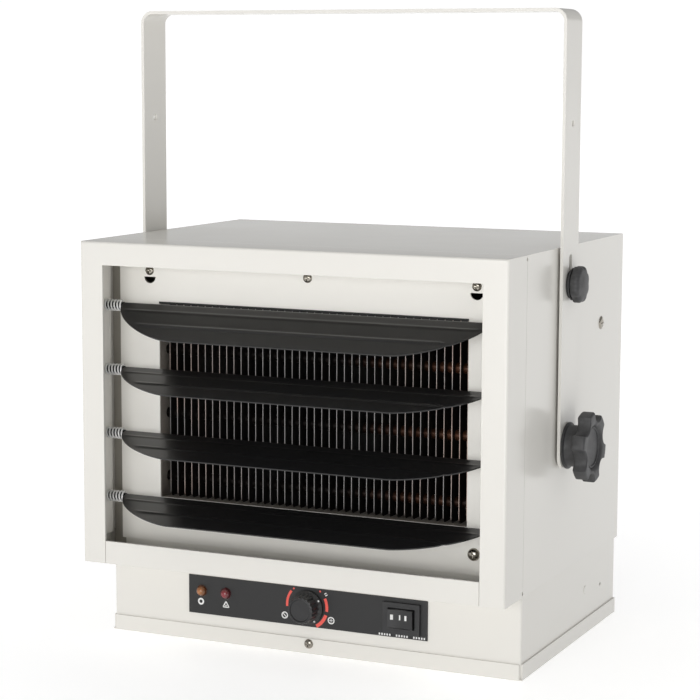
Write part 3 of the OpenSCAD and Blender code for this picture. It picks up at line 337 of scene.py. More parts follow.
@dataclass(frozen=True)
class BareMetal(Finish):
    """Plated, rolled or cast metal with streaks along one axis."""

    colour: Colour
    roughness: float
    grain: tuple[float, float, float] = (1.0, 1.0, 1.0)
    grain_scale: float = 300.0
    stain: Colour | None = None
    metallic: float = 1.0

    def sockets(self, graph: Graph) -> dict[str, object]:
        """Returns the metal: fine streaks in its roughness and broad stains in its colour."""
        streaks = graph.noise(self.grain_scale, 2.0, graph.stretched(self.grain))
        cloud = graph.noise(35.0, 3.0).within(0.35, 0.7)
        stain = self.stain or toned(self.colour, 0.82)
        return dict(
            Base_Color=graph.blend(cloud, self.colour, stain),
            Metallic=self.metallic,
            Roughness=self.roughness + (streaks - 0.5) * 0.18,
            Normal=graph.relief(streaks, 0.00001, 0.6),
        )


@dataclass(frozen=True)
class Galvanised(Finish):
    """Zinc coated sheet with its spangle."""

    colour: Colour
    roughness: float = 0.38

    def sockets(self, graph: Graph) -> dict[str, object]:
        """Returns the sheet: each crystal of some 8 mm has a tone and a roughness of its own."""
        cell = graph.node(
            "ShaderNodeTexVoronoi", inputs={"Vector": graph.place(), "Scale": 120.0}, output="Color"
        )
        tone = graph.node("ShaderNodeSeparateColor", inputs={"Color": cell})
        shade = toned(self.colour, 0.8)
        return dict(
            Base_Color=graph.blend(tone, self.colour, shade),
            Metallic=0.9,
            Roughness=self.roughness + (tone - 0.5) * 0.12,
            Normal=graph.relief(graph.noise(260.0), 0.00001, 0.4),
        )


@dataclass(frozen=True)
class Moulding(Finish):
    """Moulded plastic or rubber with a spark-eroded grain."""

    colour: Colour
    roughness: float
    grain: float = 0.00006
    grain_scale: float = 900.0
    drift_scale: float = 45.0
    drift_gain: float = 1.25

    def sockets(self, graph: Graph) -> dict[str, object]:
        """Returns the plastic: fine pits, and a tone that drifts a little."""
        pits = graph.noise(self.grain_scale, 3.0)
        drift = graph.noise(self.drift_scale, 2.0)
        lighter = toned(self.colour, self.drift_gain)
        return dict(
            Base_Color=graph.blend(drift.within(0.3, 0.7), self.colour, lighter),
            Roughness=self.roughness + (pits - 0.5) * 0.15,
            Normal=graph.relief(pits, self.grain, 0.7),
        )


@dataclass(frozen=True)
class LampLens(Finish):
    """Tinted clear plastic over an unlit neon lamp."""

    colour: Colour
    heart: Colour
    centre: Vector
    radius: float

    def sockets(self, graph: Graph) -> dict[str, object]:
        """Returns the lens: a bright heart that darkens towards the rim."""
        middle = graph.node(
            "ShaderNodeVectorMath",
            {"operation": "SUBTRACT"},
            {0: graph.place(), 1: tuple(self.centre)},
        )
        parts = graph.node("ShaderNodeSeparateXYZ", inputs={"Vector": middle})
        away = (parts**2.0 + parts.other("Z") ** 2.0) ** 0.5
        return dict(
            Base_Color=graph.blend(away.within(0.0, self.radius), self.heart, self.colour),
            Roughness=0.08 + graph.noise(300.0) * 0.04,
            Transmission_Weight=0.25,
            IOR=1.5,
            Coat_Weight=0.6,
            Coat_Roughness=0.04,
        )


@dataclass(frozen=True)
class FinSteel(Finish):
    """Dark fins whose front edges stay pale, paler and warmer in patches towards the sides; the near-black of
    their sides is heat scale and painted shade between the fins.
    """

    front: float
    half_width: float
    scale_and_shade: Colour = (0.011, 0.010, 0.0095)
    pale: Colour = (0.34, 0.33, 0.325)
    warm: Colour = (0.62, 0.47, 0.40)
    warm_scale: Colour = (0.022, 0.014, 0.011)
    bright_depth: float = 0.6 * MM
    warm_from: float = 0.40
    warm_full: float = 0.95

    def sockets(self, graph: Graph) -> dict[str, object]:
        """Returns the fins: the last strip before the front plane is pale, and the rest is near-black, as
        scale and painted shade.
        """
        parts = graph.parts()
        edge = parts.other("Y") < self.front + self.bright_depth
        side = abs(parts.other("X")).within(self.half_width * self.warm_from, self.half_width * self.warm_full)
        patch = graph.noise(60.0, 3.0, graph.stretched((1.0, 1.0, 0.35))).within(0.38, 0.62)
        bright = graph.blend(side * patch, self.pale, self.warm)
        # The fins' near-black sides: heat scale and painted shade between the fins.
        scale = graph.blend(patch * side, self.scale_and_shade, self.warm_scale)
        return dict(
            Base_Color=graph.blend(edge, scale, bright),
            Metallic=0.4,
            Roughness=0.62 - edge * 0.2,
            Normal=graph.relief(graph.noise(700.0), 0.00003, 0.5),
        )


@dataclass(frozen=True)
class HotTube(Finish):
    """Heater tube, near-black as scale and painted shade among the fins, that turns copper and straw towards
    its right end.
    """

    straw: Colour = (0.11, 0.042, 0.02)
    copper: Colour = (0.08, 0.03, 0.02)
    # Near-black: heat scale and painted shade among the fins.
    scale: Colour = (0.012, 0.009, 0.008)
    tint_from: float = 0.02
    tint_full: float = 0.12

    def sockets(self, graph: Graph) -> dict[str, object]:
        """Returns the tube: tint bands follow stretched noise along X, and grow with X."""
        bands = graph.noise(30.0, 3.0, graph.stretched((1.0, 0.3, 0.3)))
        tint = graph.node(
            "ShaderNodeValToRGB",
            {"stops": [(0.3, self.scale), (0.5, self.straw), (0.62, self.copper), (0.8, self.scale)]},
            {"Fac": bands},
        )
        parts = graph.parts()
        tint = graph.blend(parts.within(self.tint_from, self.tint_full), self.scale, tint)
        return dict(
            Base_Color=tint,
            Metallic=0.6,
            Roughness=0.22 + bands * 0.2,
            Normal=graph.relief(graph.noise(500.0), 0.00002, 0.4),
        )


@dataclass(frozen=True)
class Ink(Finish):
    """Screen printed ink: a flat, slightly uneven film."""

    colour: Colour

    def sockets(self, graph: Graph) -> dict[str, object]:
        """Returns the ink with its faint mesh texture."""
        weave = graph.noise(1500.0, 1.0)
        worn = toned(self.colour, 0.88)
        return dict(
            Base_Color=graph.blend(weave, self.colour, worn),
            Roughness=0.5 + weave * 0.1,
            Normal=graph.relief(weave, 0.000005, 0.5),
        )


@dataclass(frozen=True)
class FloorPaint(Finish):
    """White studio floor, lit from within like a light table, whose glow is dimmed round the heater as a
    painted shadow.
    """

    glow: float
    # Share of the glow left near the heater: a painted shadow.
    shadow_glow: float = 0.76
    near: float = 0.26
    far: float = 1.1

    def sockets(self, graph: Graph) -> dict[str, object]:
        """Returns the floor's white; its glow grows with the distance from the heater's middle, so the dimmer
        glow near the heater is a painted shadow.
        """
        grain = graph.noise(8.0, 2.0)
        parts = graph.parts()
        away = ((parts**2.0 + parts.other("Y") ** 2.0) ** 0.5).within(self.near, self.far)
        return dict(
            Base_Color=graph.blend(grain, (0.90, 0.90, 0.90), (0.88, 0.88, 0.88)),
            Roughness=0.55 + grain * 0.1,
            Emission_Color=graph.blend(away, (self.shadow_glow, self.shadow_glow, self.shadow_glow), (1.0, 1.0, 1.0)),
            Emission_Strength=self.glow,
        )


WHITE = Enamel("warm_white_enamel", (0.75, 0.732, 0.688), 0.22, mottle=0.012, peel=0.000010)
# The two whites below are the shells' white enamel made lighter: painted light for the shaded recess behind
# the louvres.
RECESS_LIT_WHITE = Enamel("recess_lit_white_enamel", (0.90, 0.88, 0.83), 0.26, mottle=0.012, peel=0.000010)
PANEL_LIT_WHITE = PanelEnamel("panel_lit_white_enamel", (0.95, 0.93, 0.875), 0.26, mottle=0.015)
BLACK = Enamel("black_gloss_enamel", (0.011, 0.011, 0.0115), 0.33, mottle=0.2, peel=0.0000015, coat=0.15)
PLATE_BLACK = Enamel("satin_black_plate", (0.011, 0.011, 0.0115), 0.42, mottle=0.15, peel_scale=900.0)
ZINC = BareMetal("bright_zinc", (0.62, 0.62, 0.63), 0.26, grain_scale=500.0)
SPRING_STEEL = BareMetal("spring_steel", (0.96, 0.96, 0.95), 0.25, grain_scale=900.0, metallic=0.2)
ROD_STEEL = BareMetal("blacked_rod", (0.03, 0.03, 0.031), 0.3, (0.2, 1.0, 1.0), 400.0)
GALVANISED = Galvanised("galvanised_sheet", (0.50, 0.50, 0.49))
DUCT_STEEL = BareMetal(
    "duct_steel", (0.62, 0.57, 0.51), 0.42, (0.15, 1.0, 1.0), 200.0, (0.50, 0.45, 0.39), metallic=0.15
)
# Near-black baffle sheet: heat dulling and painted shade of the deep interior behind the fins.
DULLED_AND_SHADED = BareMetal("heat_dulled_and_shaded_sheet", (0.018, 0.016, 0.015), 0.6, stain=(0.012, 0.010, 0.009))
SCREW_METAL = BareMetal("screw_metal", (0.36, 0.335, 0.29), 0.16, grain_scale=500.0)
ALUMINIUM = BareMetal("fan_aluminium", (0.66, 0.67, 0.68), 0.34, (1.0, 0.2, 1.0))
COPPER = BareMetal("capillary_copper", (0.72, 0.36, 0.22), 0.25, grain_scale=600.0)
HOT_TUBE = HotTube("hot_tube")
KNOB_GREY = Moulding(
    "knob_plastic", (0.028, 0.028, 0.029), 0.5, grain=0.00006, drift_scale=190.0, drift_gain=1.9
)
BLACK_PLASTIC = Moulding("black_plastic", (0.014, 0.014, 0.015), 0.38, grain=0.00002)
CERAMIC = Moulding("glazed_ceramic", (0.76, 0.72, 0.62), 0.22, grain=0.00001, grain_scale=200.0)
RUBBER = Moulding("black_rubber", (0.016, 0.016, 0.016), 0.62, grain=0.00004)
MOTOR_GREY = Enamel("motor_enamel", (0.045, 0.048, 0.054), 0.42, mottle=0.2)
SLEEVING = Moulding("black_sleeving", (0.02, 0.02, 0.022), 0.5, grain_scale=600.0)
EARTH_GREEN = Moulding("green_sleeving", (0.16, 0.42, 0.05), 0.5, grain_scale=600.0)
WHITE_INK = Ink("white_ink", (0.80, 0.80, 0.79))
CORAL_INK = Ink("coral_ink", (0.86, 0.11, 0.085))

CROWN_SHARES = (0.8, 0.6, 0.4, 0.2, 0.02)


class Wardrobe:
    """Makes each finish once and hands out its material."""

    def __init__(self) -> None:
        """Starts with no materials."""
        self._made: dict[str, bpy.types.Material] = {}

    def material(self, finish: Finish) -> bpy.types.Material:
        """Returns the finish's material, made on first use."""
        if finish.name not in self._made:
            self._made[finish.name] = finish.material()
        return self._made[finish.name]


WARDROBE = Wardrobe()


@dataclass
class Surface:
    """Points of a grid, which of its ways wrap, and whether its first and last row are capped."""

    points: Array
    wrap_rows: bool = False
    wrap_columns: bool = False
    cap_rows: bool = False

    def faces(self, first: int) -> list[tuple[int, ...]]:
        """Lists the grid's faces.

        A quad joins (i, j), (i+1, j), (i+1, j+1) and (i, j+1), counted round where the grid wraps.

        Args:
            first: The number of the grid's first point.

        Returns:
            The faces, with a polygon over the first and last row where these are capped.
        """
        rows, columns = self.points.shape[:2]
        i = np.arange(rows if self.wrap_rows else rows - 1)[:, None]
        j = np.arange(columns if self.wrap_columns else columns - 1)[None, :]
        after_i, after_j = (i + 1) % rows, (j + 1) % columns
        corners = (i * columns + j, after_i * columns + j, after_i * columns + after_j, i * columns + after_j)
        quads = np.stack(np.broadcast_arrays(*corners), axis=-1).reshape(-1, 4) + first
        listed = [tuple(quad) for quad in quads.tolist()]
        if self.cap_rows:
            ring = np.arange(columns) + first
            listed.append(tuple(ring[::-1].tolist()))
            listed.append(tuple((ring + (rows - 1) * columns).tolist()))
        return listed


def placed(name: str, data: bpy.types.ID) -> bpy.types.Object:
    """Makes an object for the data and links it into the scene."""
    item = bpy.data.objects.new(name, data)
    bpy.context.scene.collection.objects.link(item)
    return item


def piece(name: str, surfaces: Sequence[Surface], finish: Finish, sharp: float = 40.0) -> bpy.types.Object:
    """Makes one object out of grid surfaces.

    Args:
        name: The object's name.
        surfaces: Its surfaces.
        finish: Its finish.
        sharp: Edges that turn by more than this many degrees stay sharp.

    Returns:
        The object, at the origin, with its faces turned outwards.
    """
    faces: list[tuple[int, ...]] = []
    count = 0
    for surface in surfaces:
        faces += surface.faces(count)
        count += surface.points.shape[0] * surface.points.shape[1]
    points = np.concatenate([surface.points.reshape(-1, 3) for surface in surfaces])
    mesh = bpy.data.meshes.new(name)
    mesh.from_pydata(points, [], faces)
    soften_shading(mesh, sharp, weld=1e-7, turn_out=True)
    mesh.materials.append(WARDROBE.material(finish))
    return placed(name, mesh)


def soften_shading(mesh: bpy.types.Mesh, sharp: float, weld: float, turn_out: bool) -> None:
    """Merges doubled points and shades the mesh smooth between its sharp edges.

    Args:
        mesh: The mesh that is changed.
        sharp: Edges that turn by more than this many degrees stay sharp.
        weld: Points nearer than this are merged.
        turn_out: Whether the faces are turned outwards.
    """
    work = bmesh.new()
    work.from_mesh(mesh)
    bmesh.ops.remove_doubles(work, verts=work.verts, dist=weld)
    bmesh.ops.dissolve_degenerate(work, edges=work.edges, dist=weld)
    if turn_out:
        bmesh.ops.recalc_face_normals(work, faces=work.faces)
    for face in work.faces:
        face.smooth = True
    for edge in work.edges:
        edge.smooth = len(edge.link_faces) == 2 and edge.calc_face_angle(0.0) < math.radians(sharp)
    work.to_mesh(mesh)
    work.free()
    mesh.update()


def thicken(item: bpy.types.Object, thickness: float) -> None:
    """Gives an open surface a wall that grows both ways.

    Args:
        item: The object.
        thickness: The wall, in metres.
    """
    wall = item.modifiers.new("wall", "SOLIDIFY")
    wall.thickness = thickness
    wall.offset = 0.0
    wall.use_even_offset = True


def ease_edges(item: bpy.types.Object, width: float, angle: float = 35.0) -> None:
    """Breaks the sharp edges of a piece with a bevel of two steps.

    Args:
        item: The object.
        width: How far the bevel reaches from the edge.
        angle: Only edges that turn by more than this many degrees are broken.
    """
    bevel = item.modifiers.new("eased_edges", "BEVEL")
    bevel.width = width
    bevel.segments = 2
    bevel.limit_method = "ANGLE"
    bevel.angle_limit = math.radians(angle)
    bevel.harden_normals = False
    bevel.use_clamp_overlap = True


def around(sides: int) -> Array:
    """Returns the angles of that many even steps round a circle."""
    return np.linspace(0.0, 2.0 * np.pi, sides, endpoint=False)


def turned(profile: Array, centre: Vector, axis: int, sign: float, sides: int = 48) -> Surface:
    """Turns a profile round an axis.

    A point at height h and radius r goes to centre + sign * h * axis + r * (cos a, sin a) across it.

    Args:
        profile: Rows of (height, radius).
        centre: Where height 0 lies.
        axis: 0, 1 or 2 for X, Y or Z.
        sign: 1 or -1, the way that the height grows.
        sides: Steps round the axis.

    Returns:
        The closed surface.
    """
    angle = around(sides)[None, :]
    height, radius = (column[:, None] + 0.0 * angle for column in profile.T)
    return shaped_turn(height, radius, angle, centre, axis, sign)


def shaped_turn(
    height: Array, radius: Array, angle: Array, centre: Vector, axis: int, sign: float
) -> Surface:
    """Builds a turned form whose height and radius may vary round it.

    Args:
        height: Height of each grid point along the axis.
        radius: Its distance from the axis.
        angle: Its angle, from the next axis towards the one after it.
        centre: Where height 0 lies.
        axis: 0, 1 or 2 for X, Y or Z.
        sign: 1 or -1, the way that the height grows.

    Returns:
        The surface, wrapped round its axis.
    """
    points = np.empty((*height.shape, 3))
    points[..., axis] = centre[axis] + sign * height
    points[..., (axis + 1) % 3] = centre[(axis + 1) % 3] + radius * np.cos(angle)
    points[..., (axis + 2) % 3] = centre[(axis + 2) % 3] + radius * np.sin(angle)
    return Surface(points, wrap_columns=True, cap_rows=True)


class RingStack:
    """Rings of a turned form, each with a height and a radius that may vary round it."""

    def __init__(self, sides: int) -> None:
        """Starts with no rings, for that many steps round the axis."""
        self.angle = around(sides)[None, :]
        self._rows: list[tuple[Array, Array]] = []

    def rings(self, *rows: Ring) -> None:
        """Adds rings, each given as (height, radius)."""
        for height, radius in rows:
            self._rows.append((np.full_like(self.angle, height), radius + 0.0 * self.angle))

    def surface(self, centre: Vector, axis: int, sign: float) -> Surface:
        """Returns the closed form through all the rings; the last three values are shaped_turn's."""
        heights, radii = (np.concatenate(column) for column in zip(*self._rows))
        return shaped_turn(heights, radii, self.angle, centre, axis, sign)


def bar(start: Vector, end: Vector, radius: float, sides: int = 16) -> Surface:
    """Builds a straight round bar: rings of the radius at both ends, square to the line between them."""
    along = (end - start).normalized()
    across = along.orthogonal().normalized()
    third = along.cross(across)
    angle = around(sides)
    ring = radius * (np.cos(angle)[:, None] * np.array(across) + np.sin(angle)[:, None] * np.array(third))
    return Surface(np.stack([np.array(start) + ring, np.array(end) + ring]), wrap_columns=True, cap_rows=True)


def round_over(height: float, radius: "Array | float", corner: float, steps: int = 5) -> list[Ring]:
    """Lists the (height, radius) points of a quarter circle that rounds a rim into its top face."""
    turn = np.linspace(0.0, 1.0, steps) * np.pi / 2
    return [(height - corner * (1 - math.sin(a)), radius - corner * (1 - math.cos(a))) for a in turn]


def round_under(height: float, radius: Array, corner: float, first: float, steps: int) -> list[Ring]:
    """Lists the points of the quarter circle under a rim, from the share first of its turn on."""
    turn = np.linspace(first, 1.0, steps) * np.pi / 2
    return [(height + corner * (1 - math.cos(a)), radius - corner * (1 - math.sin(a))) for a in turn]


def solid_boxes(node: bpy.types.Object) -> list[tuple[Array, Array]]:
    """Finds the box of each separate solid of a node.

    Points at one place are one point; each takes the lowest label of its triangles until nothing changes.

    Args:
        node: A node's object.

    Returns:
        The lowest and the highest corner of each solid.
    """
    mesh = node.data
    mesh.calc_loop_triangles()
    raw = np.empty(len(mesh.vertices) * 3)
    mesh.vertices.foreach_get("co", raw)
    corners = np.empty(len(mesh.loop_triangles) * 3, dtype=np.int32)
    mesh.loop_triangles.foreach_get("vertices", corners)
    points, same = np.unique(np.round(raw.reshape(-1, 3), 6), axis=0, return_inverse=True)
    triangles = same.reshape(-1)[corners].reshape(-1, 3)
    label = np.arange(len(points))
    while True:
        lowest = np.repeat(label[triangles].min(axis=1), 3)
        spread = label.copy()
        np.minimum.at(spread, triangles.ravel(), lowest)
        if np.array_equal(spread, label):
            break
        label = spread
    return [(points[label == k].min(axis=0), points[label == k].max(axis=0)) for k in np.unique(label)]


class Part:
    """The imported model's nodes, bodies and joints, and the ways to dress them."""

    weld = 0.001 * MM
    flat = math.radians(0.6)
    sharp = 25.0

    def __init__(self, frame: Mapping[str, object]) -> None:
        """Keeps the frame and where each joint lies."""
        self.nodes: dict[str, bpy.types.Object] = frame["nodes"]
        self.joints = {joint["name"]: joint for joint in frame["joints"]}
        self.bodies: dict[str, list[str]] = frame["record"]["behaviour"]["bodies"]

    def axis_point(self, joint: str) -> Vector:
        """Returns a point on the joint's axis."""
        return Vector(self.joints[joint]["pos_m"])

    def body_of(self, node: str) -> str:
        """Returns the name of the body that holds the node."""
        return next(body for body, nodes in self.bodies.items() if node in nodes)

    def dress(self, *rows: tuple[str, Finish, float | None]) -> None:
        """Eases each node by its width, or only paints it where the width is None."""
        for name, finish, width in rows:
            if width is None:
                self.paint(name, finish)
            else:
                self.eased(name, finish, width)

    def paint(self, name: str, finish: Finish) -> None:
        """Gives a node its finish and leaves its shape."""
        slots = self.nodes[name].data.materials
        slots.clear()
        slots.append(WARDROBE.material(finish))
        log.info("painted %s with %s", name, finish.name)

    def stand_in(self, item: bpy.types.Object, *names: str) -> None:
        """Lets a new piece stand for nodes, on their body."""
        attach(item, self.body_of(names[0]))
        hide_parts(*names)
        log.info("made %s for %s", item.name, ", ".join(names))

    def add(self, item: bpy.types.Object, body: str) -> None:
        """Adds a piece that has no node of its own."""
        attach(item, body)
        log.info("made %s on %s", item.name, body)

    def eased(self, name: str, finish: Finish, width: float) -> None:
        """Replaces a node by a copy with broken edges and smooth folds.

        The copy's triangles are merged, flat areas become single faces, and a bevel breaks the edges.

        Args:
            name: The node.
            finish: Its finish.
            width: How far the bevel reaches, or 0 for none.
        """
        mesh = self.nodes[name].data.copy()
        mesh.name = name + "_shell"
        if "custom_normal" in mesh.attributes:
            mesh.attributes.remove(mesh.attributes["custom_normal"])
        work = bmesh.new()
        work.from_mesh(mesh)
        bmesh.ops.remove_doubles(work, verts=work.verts, dist=self.weld)
        bmesh.ops.dissolve_limit(work, angle_limit=self.flat, verts=work.verts, edges=work.edges)
        work.to_mesh(mesh)
        work.free()
        soften_shading(mesh, self.sharp, self.weld, turn_out=False)
        mesh.materials.clear()
        mesh.materials.append(WARDROBE.material(finish))
        item = placed(name + "_shell", mesh)
        if width > 0.0:
            ease_edges(item, width)
        self.stand_in(item, name)


@dataclass
class Cabinet:
    """The enamelled shells: shroud, wrapper, panels, control box, tray and bracket."""

    part: Part
    fold: float = 0.35 * MM
    fine: float = 0.2 * MM
    bar_edge: float = 0.5 * MM
    window: tuple[float, float] = (-131.6 * MM, 134.0 * MM)
    window_top: float = 272.7 * MM
    # Depth and height of the black strip on the window's top edge, which is painted shade above the top
    # louvre.
    shade_strip: tuple[float, float] = (0.3 * MM, 1.7 * MM)
    shells: tuple[str, ...] = ("shroud_frame", "shroud_rail", "cabinet_wrapper", "control_box", "bottom_tray")

    def dress(self) -> None:
        """Eases and paints every white shell, and the bracket's flat bar."""
        self.part.dress(
            *[(name, WHITE, self.fold) for name in self.shells],
            ("louvre_rails", RECESS_LIT_WHITE, self.fine),
            ("front_panel", PANEL_LIT_WHITE, self.fine),
            ("rear_panel", WHITE, self.fine),
        )
        self.window_shade_strip()
        self.part.dress(
            ("bracket", WHITE, self.bar_edge),
            ("pivot_washers", RUBBER, self.fine),
            ("lock_washers", RUBBER, self.fine),
            ("floor_plate", GALVANISED, None),
        )

    def window_shade_strip(self) -> None:
        """Lays a black strip along the window's top edge as painted shade above the top louvre: a box from
        corner to corner.
        """
        x0, x1 = self.window
        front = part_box("front_panel")[0].y
        y0, z0, z1 = front - self.shade_strip[0], self.window_top, self.window_top + self.shade_strip[1]
        ends = [[(x, y0, z0), (x, front, z0), (x, front, z1), (x, y0, z1)] for x in (x0, x1)]
        strip = Surface(np.array(ends), wrap_columns=True, cap_rows=True)
        self.part.add(piece("window_shade_strip", [strip], RUBBER), self.part.body_of("front_panel"))


@dataclass
class Louvre:
    """One rolled blade: a flat with two pressed ribs, round ends and a bead round its rod."""

    part: Part
    number: int
    slope: float
    chord: float = 47.0 * MM
    taper: float = 63.0 * MM
    end_chord: float = 4.0 * MM
    power: float = 1.5
    sheet: float = 1.0 * MM
    bead: float = 2.1 * MM
    rib_shares: tuple[float, float] = (0.20, 0.60)
    rib_heights: tuple[float, float] = (0.45 * MM, 0.8 * MM)
    rib_width: float = 1.1 * MM
    nick_share: float = 0.62
    nick_depth: float = 1.2 * MM
    nick_width: float = 1.8 * MM
    edge: float = 0.3 * MM
    sharp: float = 50.0

    @property
    def nick_from_end(self) -> float:
        """Returns how far the nick lies from the blade's right end."""
        return self.taper * (1.0 - self.nick_share)

    def outline(self, x: Array, half: float) -> Array:
        """Works out the blade's width at each x.

        In the middle it is the chord; in the ends it is
        end + (chord - end) * (1 - u**p) ** (1/p), u running from 0 to 1 over the taper.

        Args:
            x: Places along the rod.
            half: Half the blade's length.

        Returns:
            The widths.
        """
        u = np.clip((np.abs(x) - (half - self.taper)) / self.taper, 0.0, 1.0)
        width = self.end_chord + (self.chord - self.end_chord) * (1.0 - u**self.power) ** (1.0 / self.power)
        nick_x = half - self.nick_from_end
        return width - self.nick_depth * np.exp(-(((x - nick_x) / self.nick_width) ** 2))

    def section(self, width: Array) -> tuple[Array, Array]:
        """Works out the blade's section at each width.

        The flat runs at the bead's height from the free edge to the rod, with a bell curve for each
        rib; then the sheet goes on round the rod on a circle, down its back and nearly closed.

        Args:
            width: The blade's widths, one per row.

        Returns:
            Distance in front of the rod, and height above it.
        """
        share = np.linspace(1.0, 0.0, 40)[None, :]
        ahead = width[:, None] * share
        height = np.full_like(ahead, self.bead)
        for at, rise in zip(self.rib_shares, self.rib_heights):
            bell = np.exp(-(((ahead - at * self.chord) / self.rib_width) ** 2))
            clear = np.clip((width[:, None] - at * self.chord - 3 * self.rib_width) / (4 * MM), 0.0, 1.0)
            height = height + rise * bell * clear
        turn = np.linspace(np.pi / 2, np.pi / 2 + 2 * np.pi * 0.86, 26)[None, 1:]
        round_ahead = np.repeat(-self.bead * np.sin(turn - np.pi / 2), len(width), axis=0)
        round_height = np.repeat(self.bead * np.cos(turn - np.pi / 2), len(width), axis=0)
        return np.concatenate([ahead, round_ahead], axis=1), np.concatenate([height, round_height], axis=1)

    def build(self) -> None:
        """Builds the blade at its rest slope, and dresses its rod."""
        name = f"louvre_{self.number}"
        pivot = self.part.axis_point(name + "_turn")
        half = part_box(name)[1].x
        bow = np.linspace(-np.pi / 2, np.pi / 2, 60)
        ends = half - self.taper * (1 - np.sin(np.abs(bow)))
        flat = np.linspace(-half + self.taper, half - self.taper, 40)
        nick = half - self.nick_from_end + self.nick_width * np.linspace(-3.0, 3.0, 25)
        x = np.unique(np.concatenate([np.sign(bow) * ends, flat, nick]))
        ahead, height = self.section(self.outline(x, half))
        slope = math.radians(self.slope)
        points = np.empty((*ahead.shape, 3))
        points[..., 0] = x[:, None]
        points[..., 1] = pivot.y - ahead * math.cos(slope) - height * math.sin(slope)
        points[..., 2] = pivot.z - ahead * math.sin(slope) + height * math.cos(slope)
        blade = piece(name + "_blade", [Surface(points)], BLACK, self.sharp)
        thicken(blade, self.sheet)
        ease_edges(blade, self.edge, self.sharp)
        self.part.stand_in(blade, name)
        self.part.eased(f"louvre_rod_{self.number}", ROD_STEEL, 0.15 * MM)


@dataclass
class Springs:
    """The coil springs that press each blade to the right."""

    part: Part
    count: int = 4
    wire: float = 0.72 * MM
    radius: float = 3.98 * MM
    turns: float = 5.9
    closed_turns: float = 0.5
    # Radius of the black core inside each spring: painted shade inside the coil.
    dark_core: float = 3.0 * MM

    def coil(self, centre: Vector, low: float, high: float) -> Surface:
        """Winds one spring.

        The middle line is (x(t), R cos a, R sin a); x grows by one wire for each turn at the ends and
        evenly between, and a ring of the wire's radius is set square to it.

        Args:
            centre: A point on the spring's axis.
            low: Its left end.
            high: Its right end.

        Returns:
            The wire's surface.
        """
        steps = 220
        angle = np.linspace(0.0, 2.0 * np.pi * self.turns, steps)
        turn = angle / (2.0 * np.pi)
        shut = 2.1 * self.wire
        span = high - low - 2.0 * self.wire
        free = (span - 2.0 * shut * self.closed_turns) / (self.turns - 2.0 * self.closed_turns)
        knots = [0.0, self.closed_turns, self.turns - self.closed_turns, self.turns]
        rises = [0.0, shut * self.closed_turns, span - shut * self.closed_turns, span]
        x = np.interp(turn, knots, rises)
        rise = free / (2.0 * np.pi)
        nought, cos, sin = 0.0 * angle, np.cos(angle), np.sin(angle)
        outward = np.stack([nought, cos, sin], axis=1)
        along = np.stack([nought + rise, -self.radius * sin, self.radius * cos], axis=1)
        along /= np.linalg.norm(along, axis=1, keepdims=True)
        third = np.cross(along, outward)
        middle = np.stack(
            [low + self.wire + x, centre.y + self.radius * cos, centre.z + self.radius * sin], axis=1
        )
        ring = around(10)
        up, side = np.cos(ring)[None, :, None], np.sin(ring)[None, :, None]
        points = middle[:, None, :] + self.wire * (up * outward[:, None, :] + side * third[:, None, :])
        return Surface(points, wrap_columns=True, cap_rows=True)

    def build(self) -> None:
        """Builds all the springs in the place of the node, and inside each a black core round its rod, which
        is painted shade inside the coil.
        """
        low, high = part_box("louvre_springs")
        coils = []
        for i in range(1, self.count + 1):
            pivot = self.part.axis_point(f"louvre_{i}_turn")
            coils.append(self.coil(pivot, low.x, high.x))
            start, end = Vector((low.x, pivot.y, pivot.z)), Vector((high.x, pivot.y, pivot.z))
            # A black core inside the coil: painted shade.
            dark_core = piece(f"rod_dark_core_{i}", [bar(start, end, self.dark_core, 24)], ROD_STEEL, sharp=60.0)
            self.part.add(dark_core, self.part.body_of(f"louvre_rod_{i}"))
        item = piece("louvre_spring_coils", coils, SPRING_STEEL, sharp=60.0)
        self.part.stand_in(item, "louvre_springs")


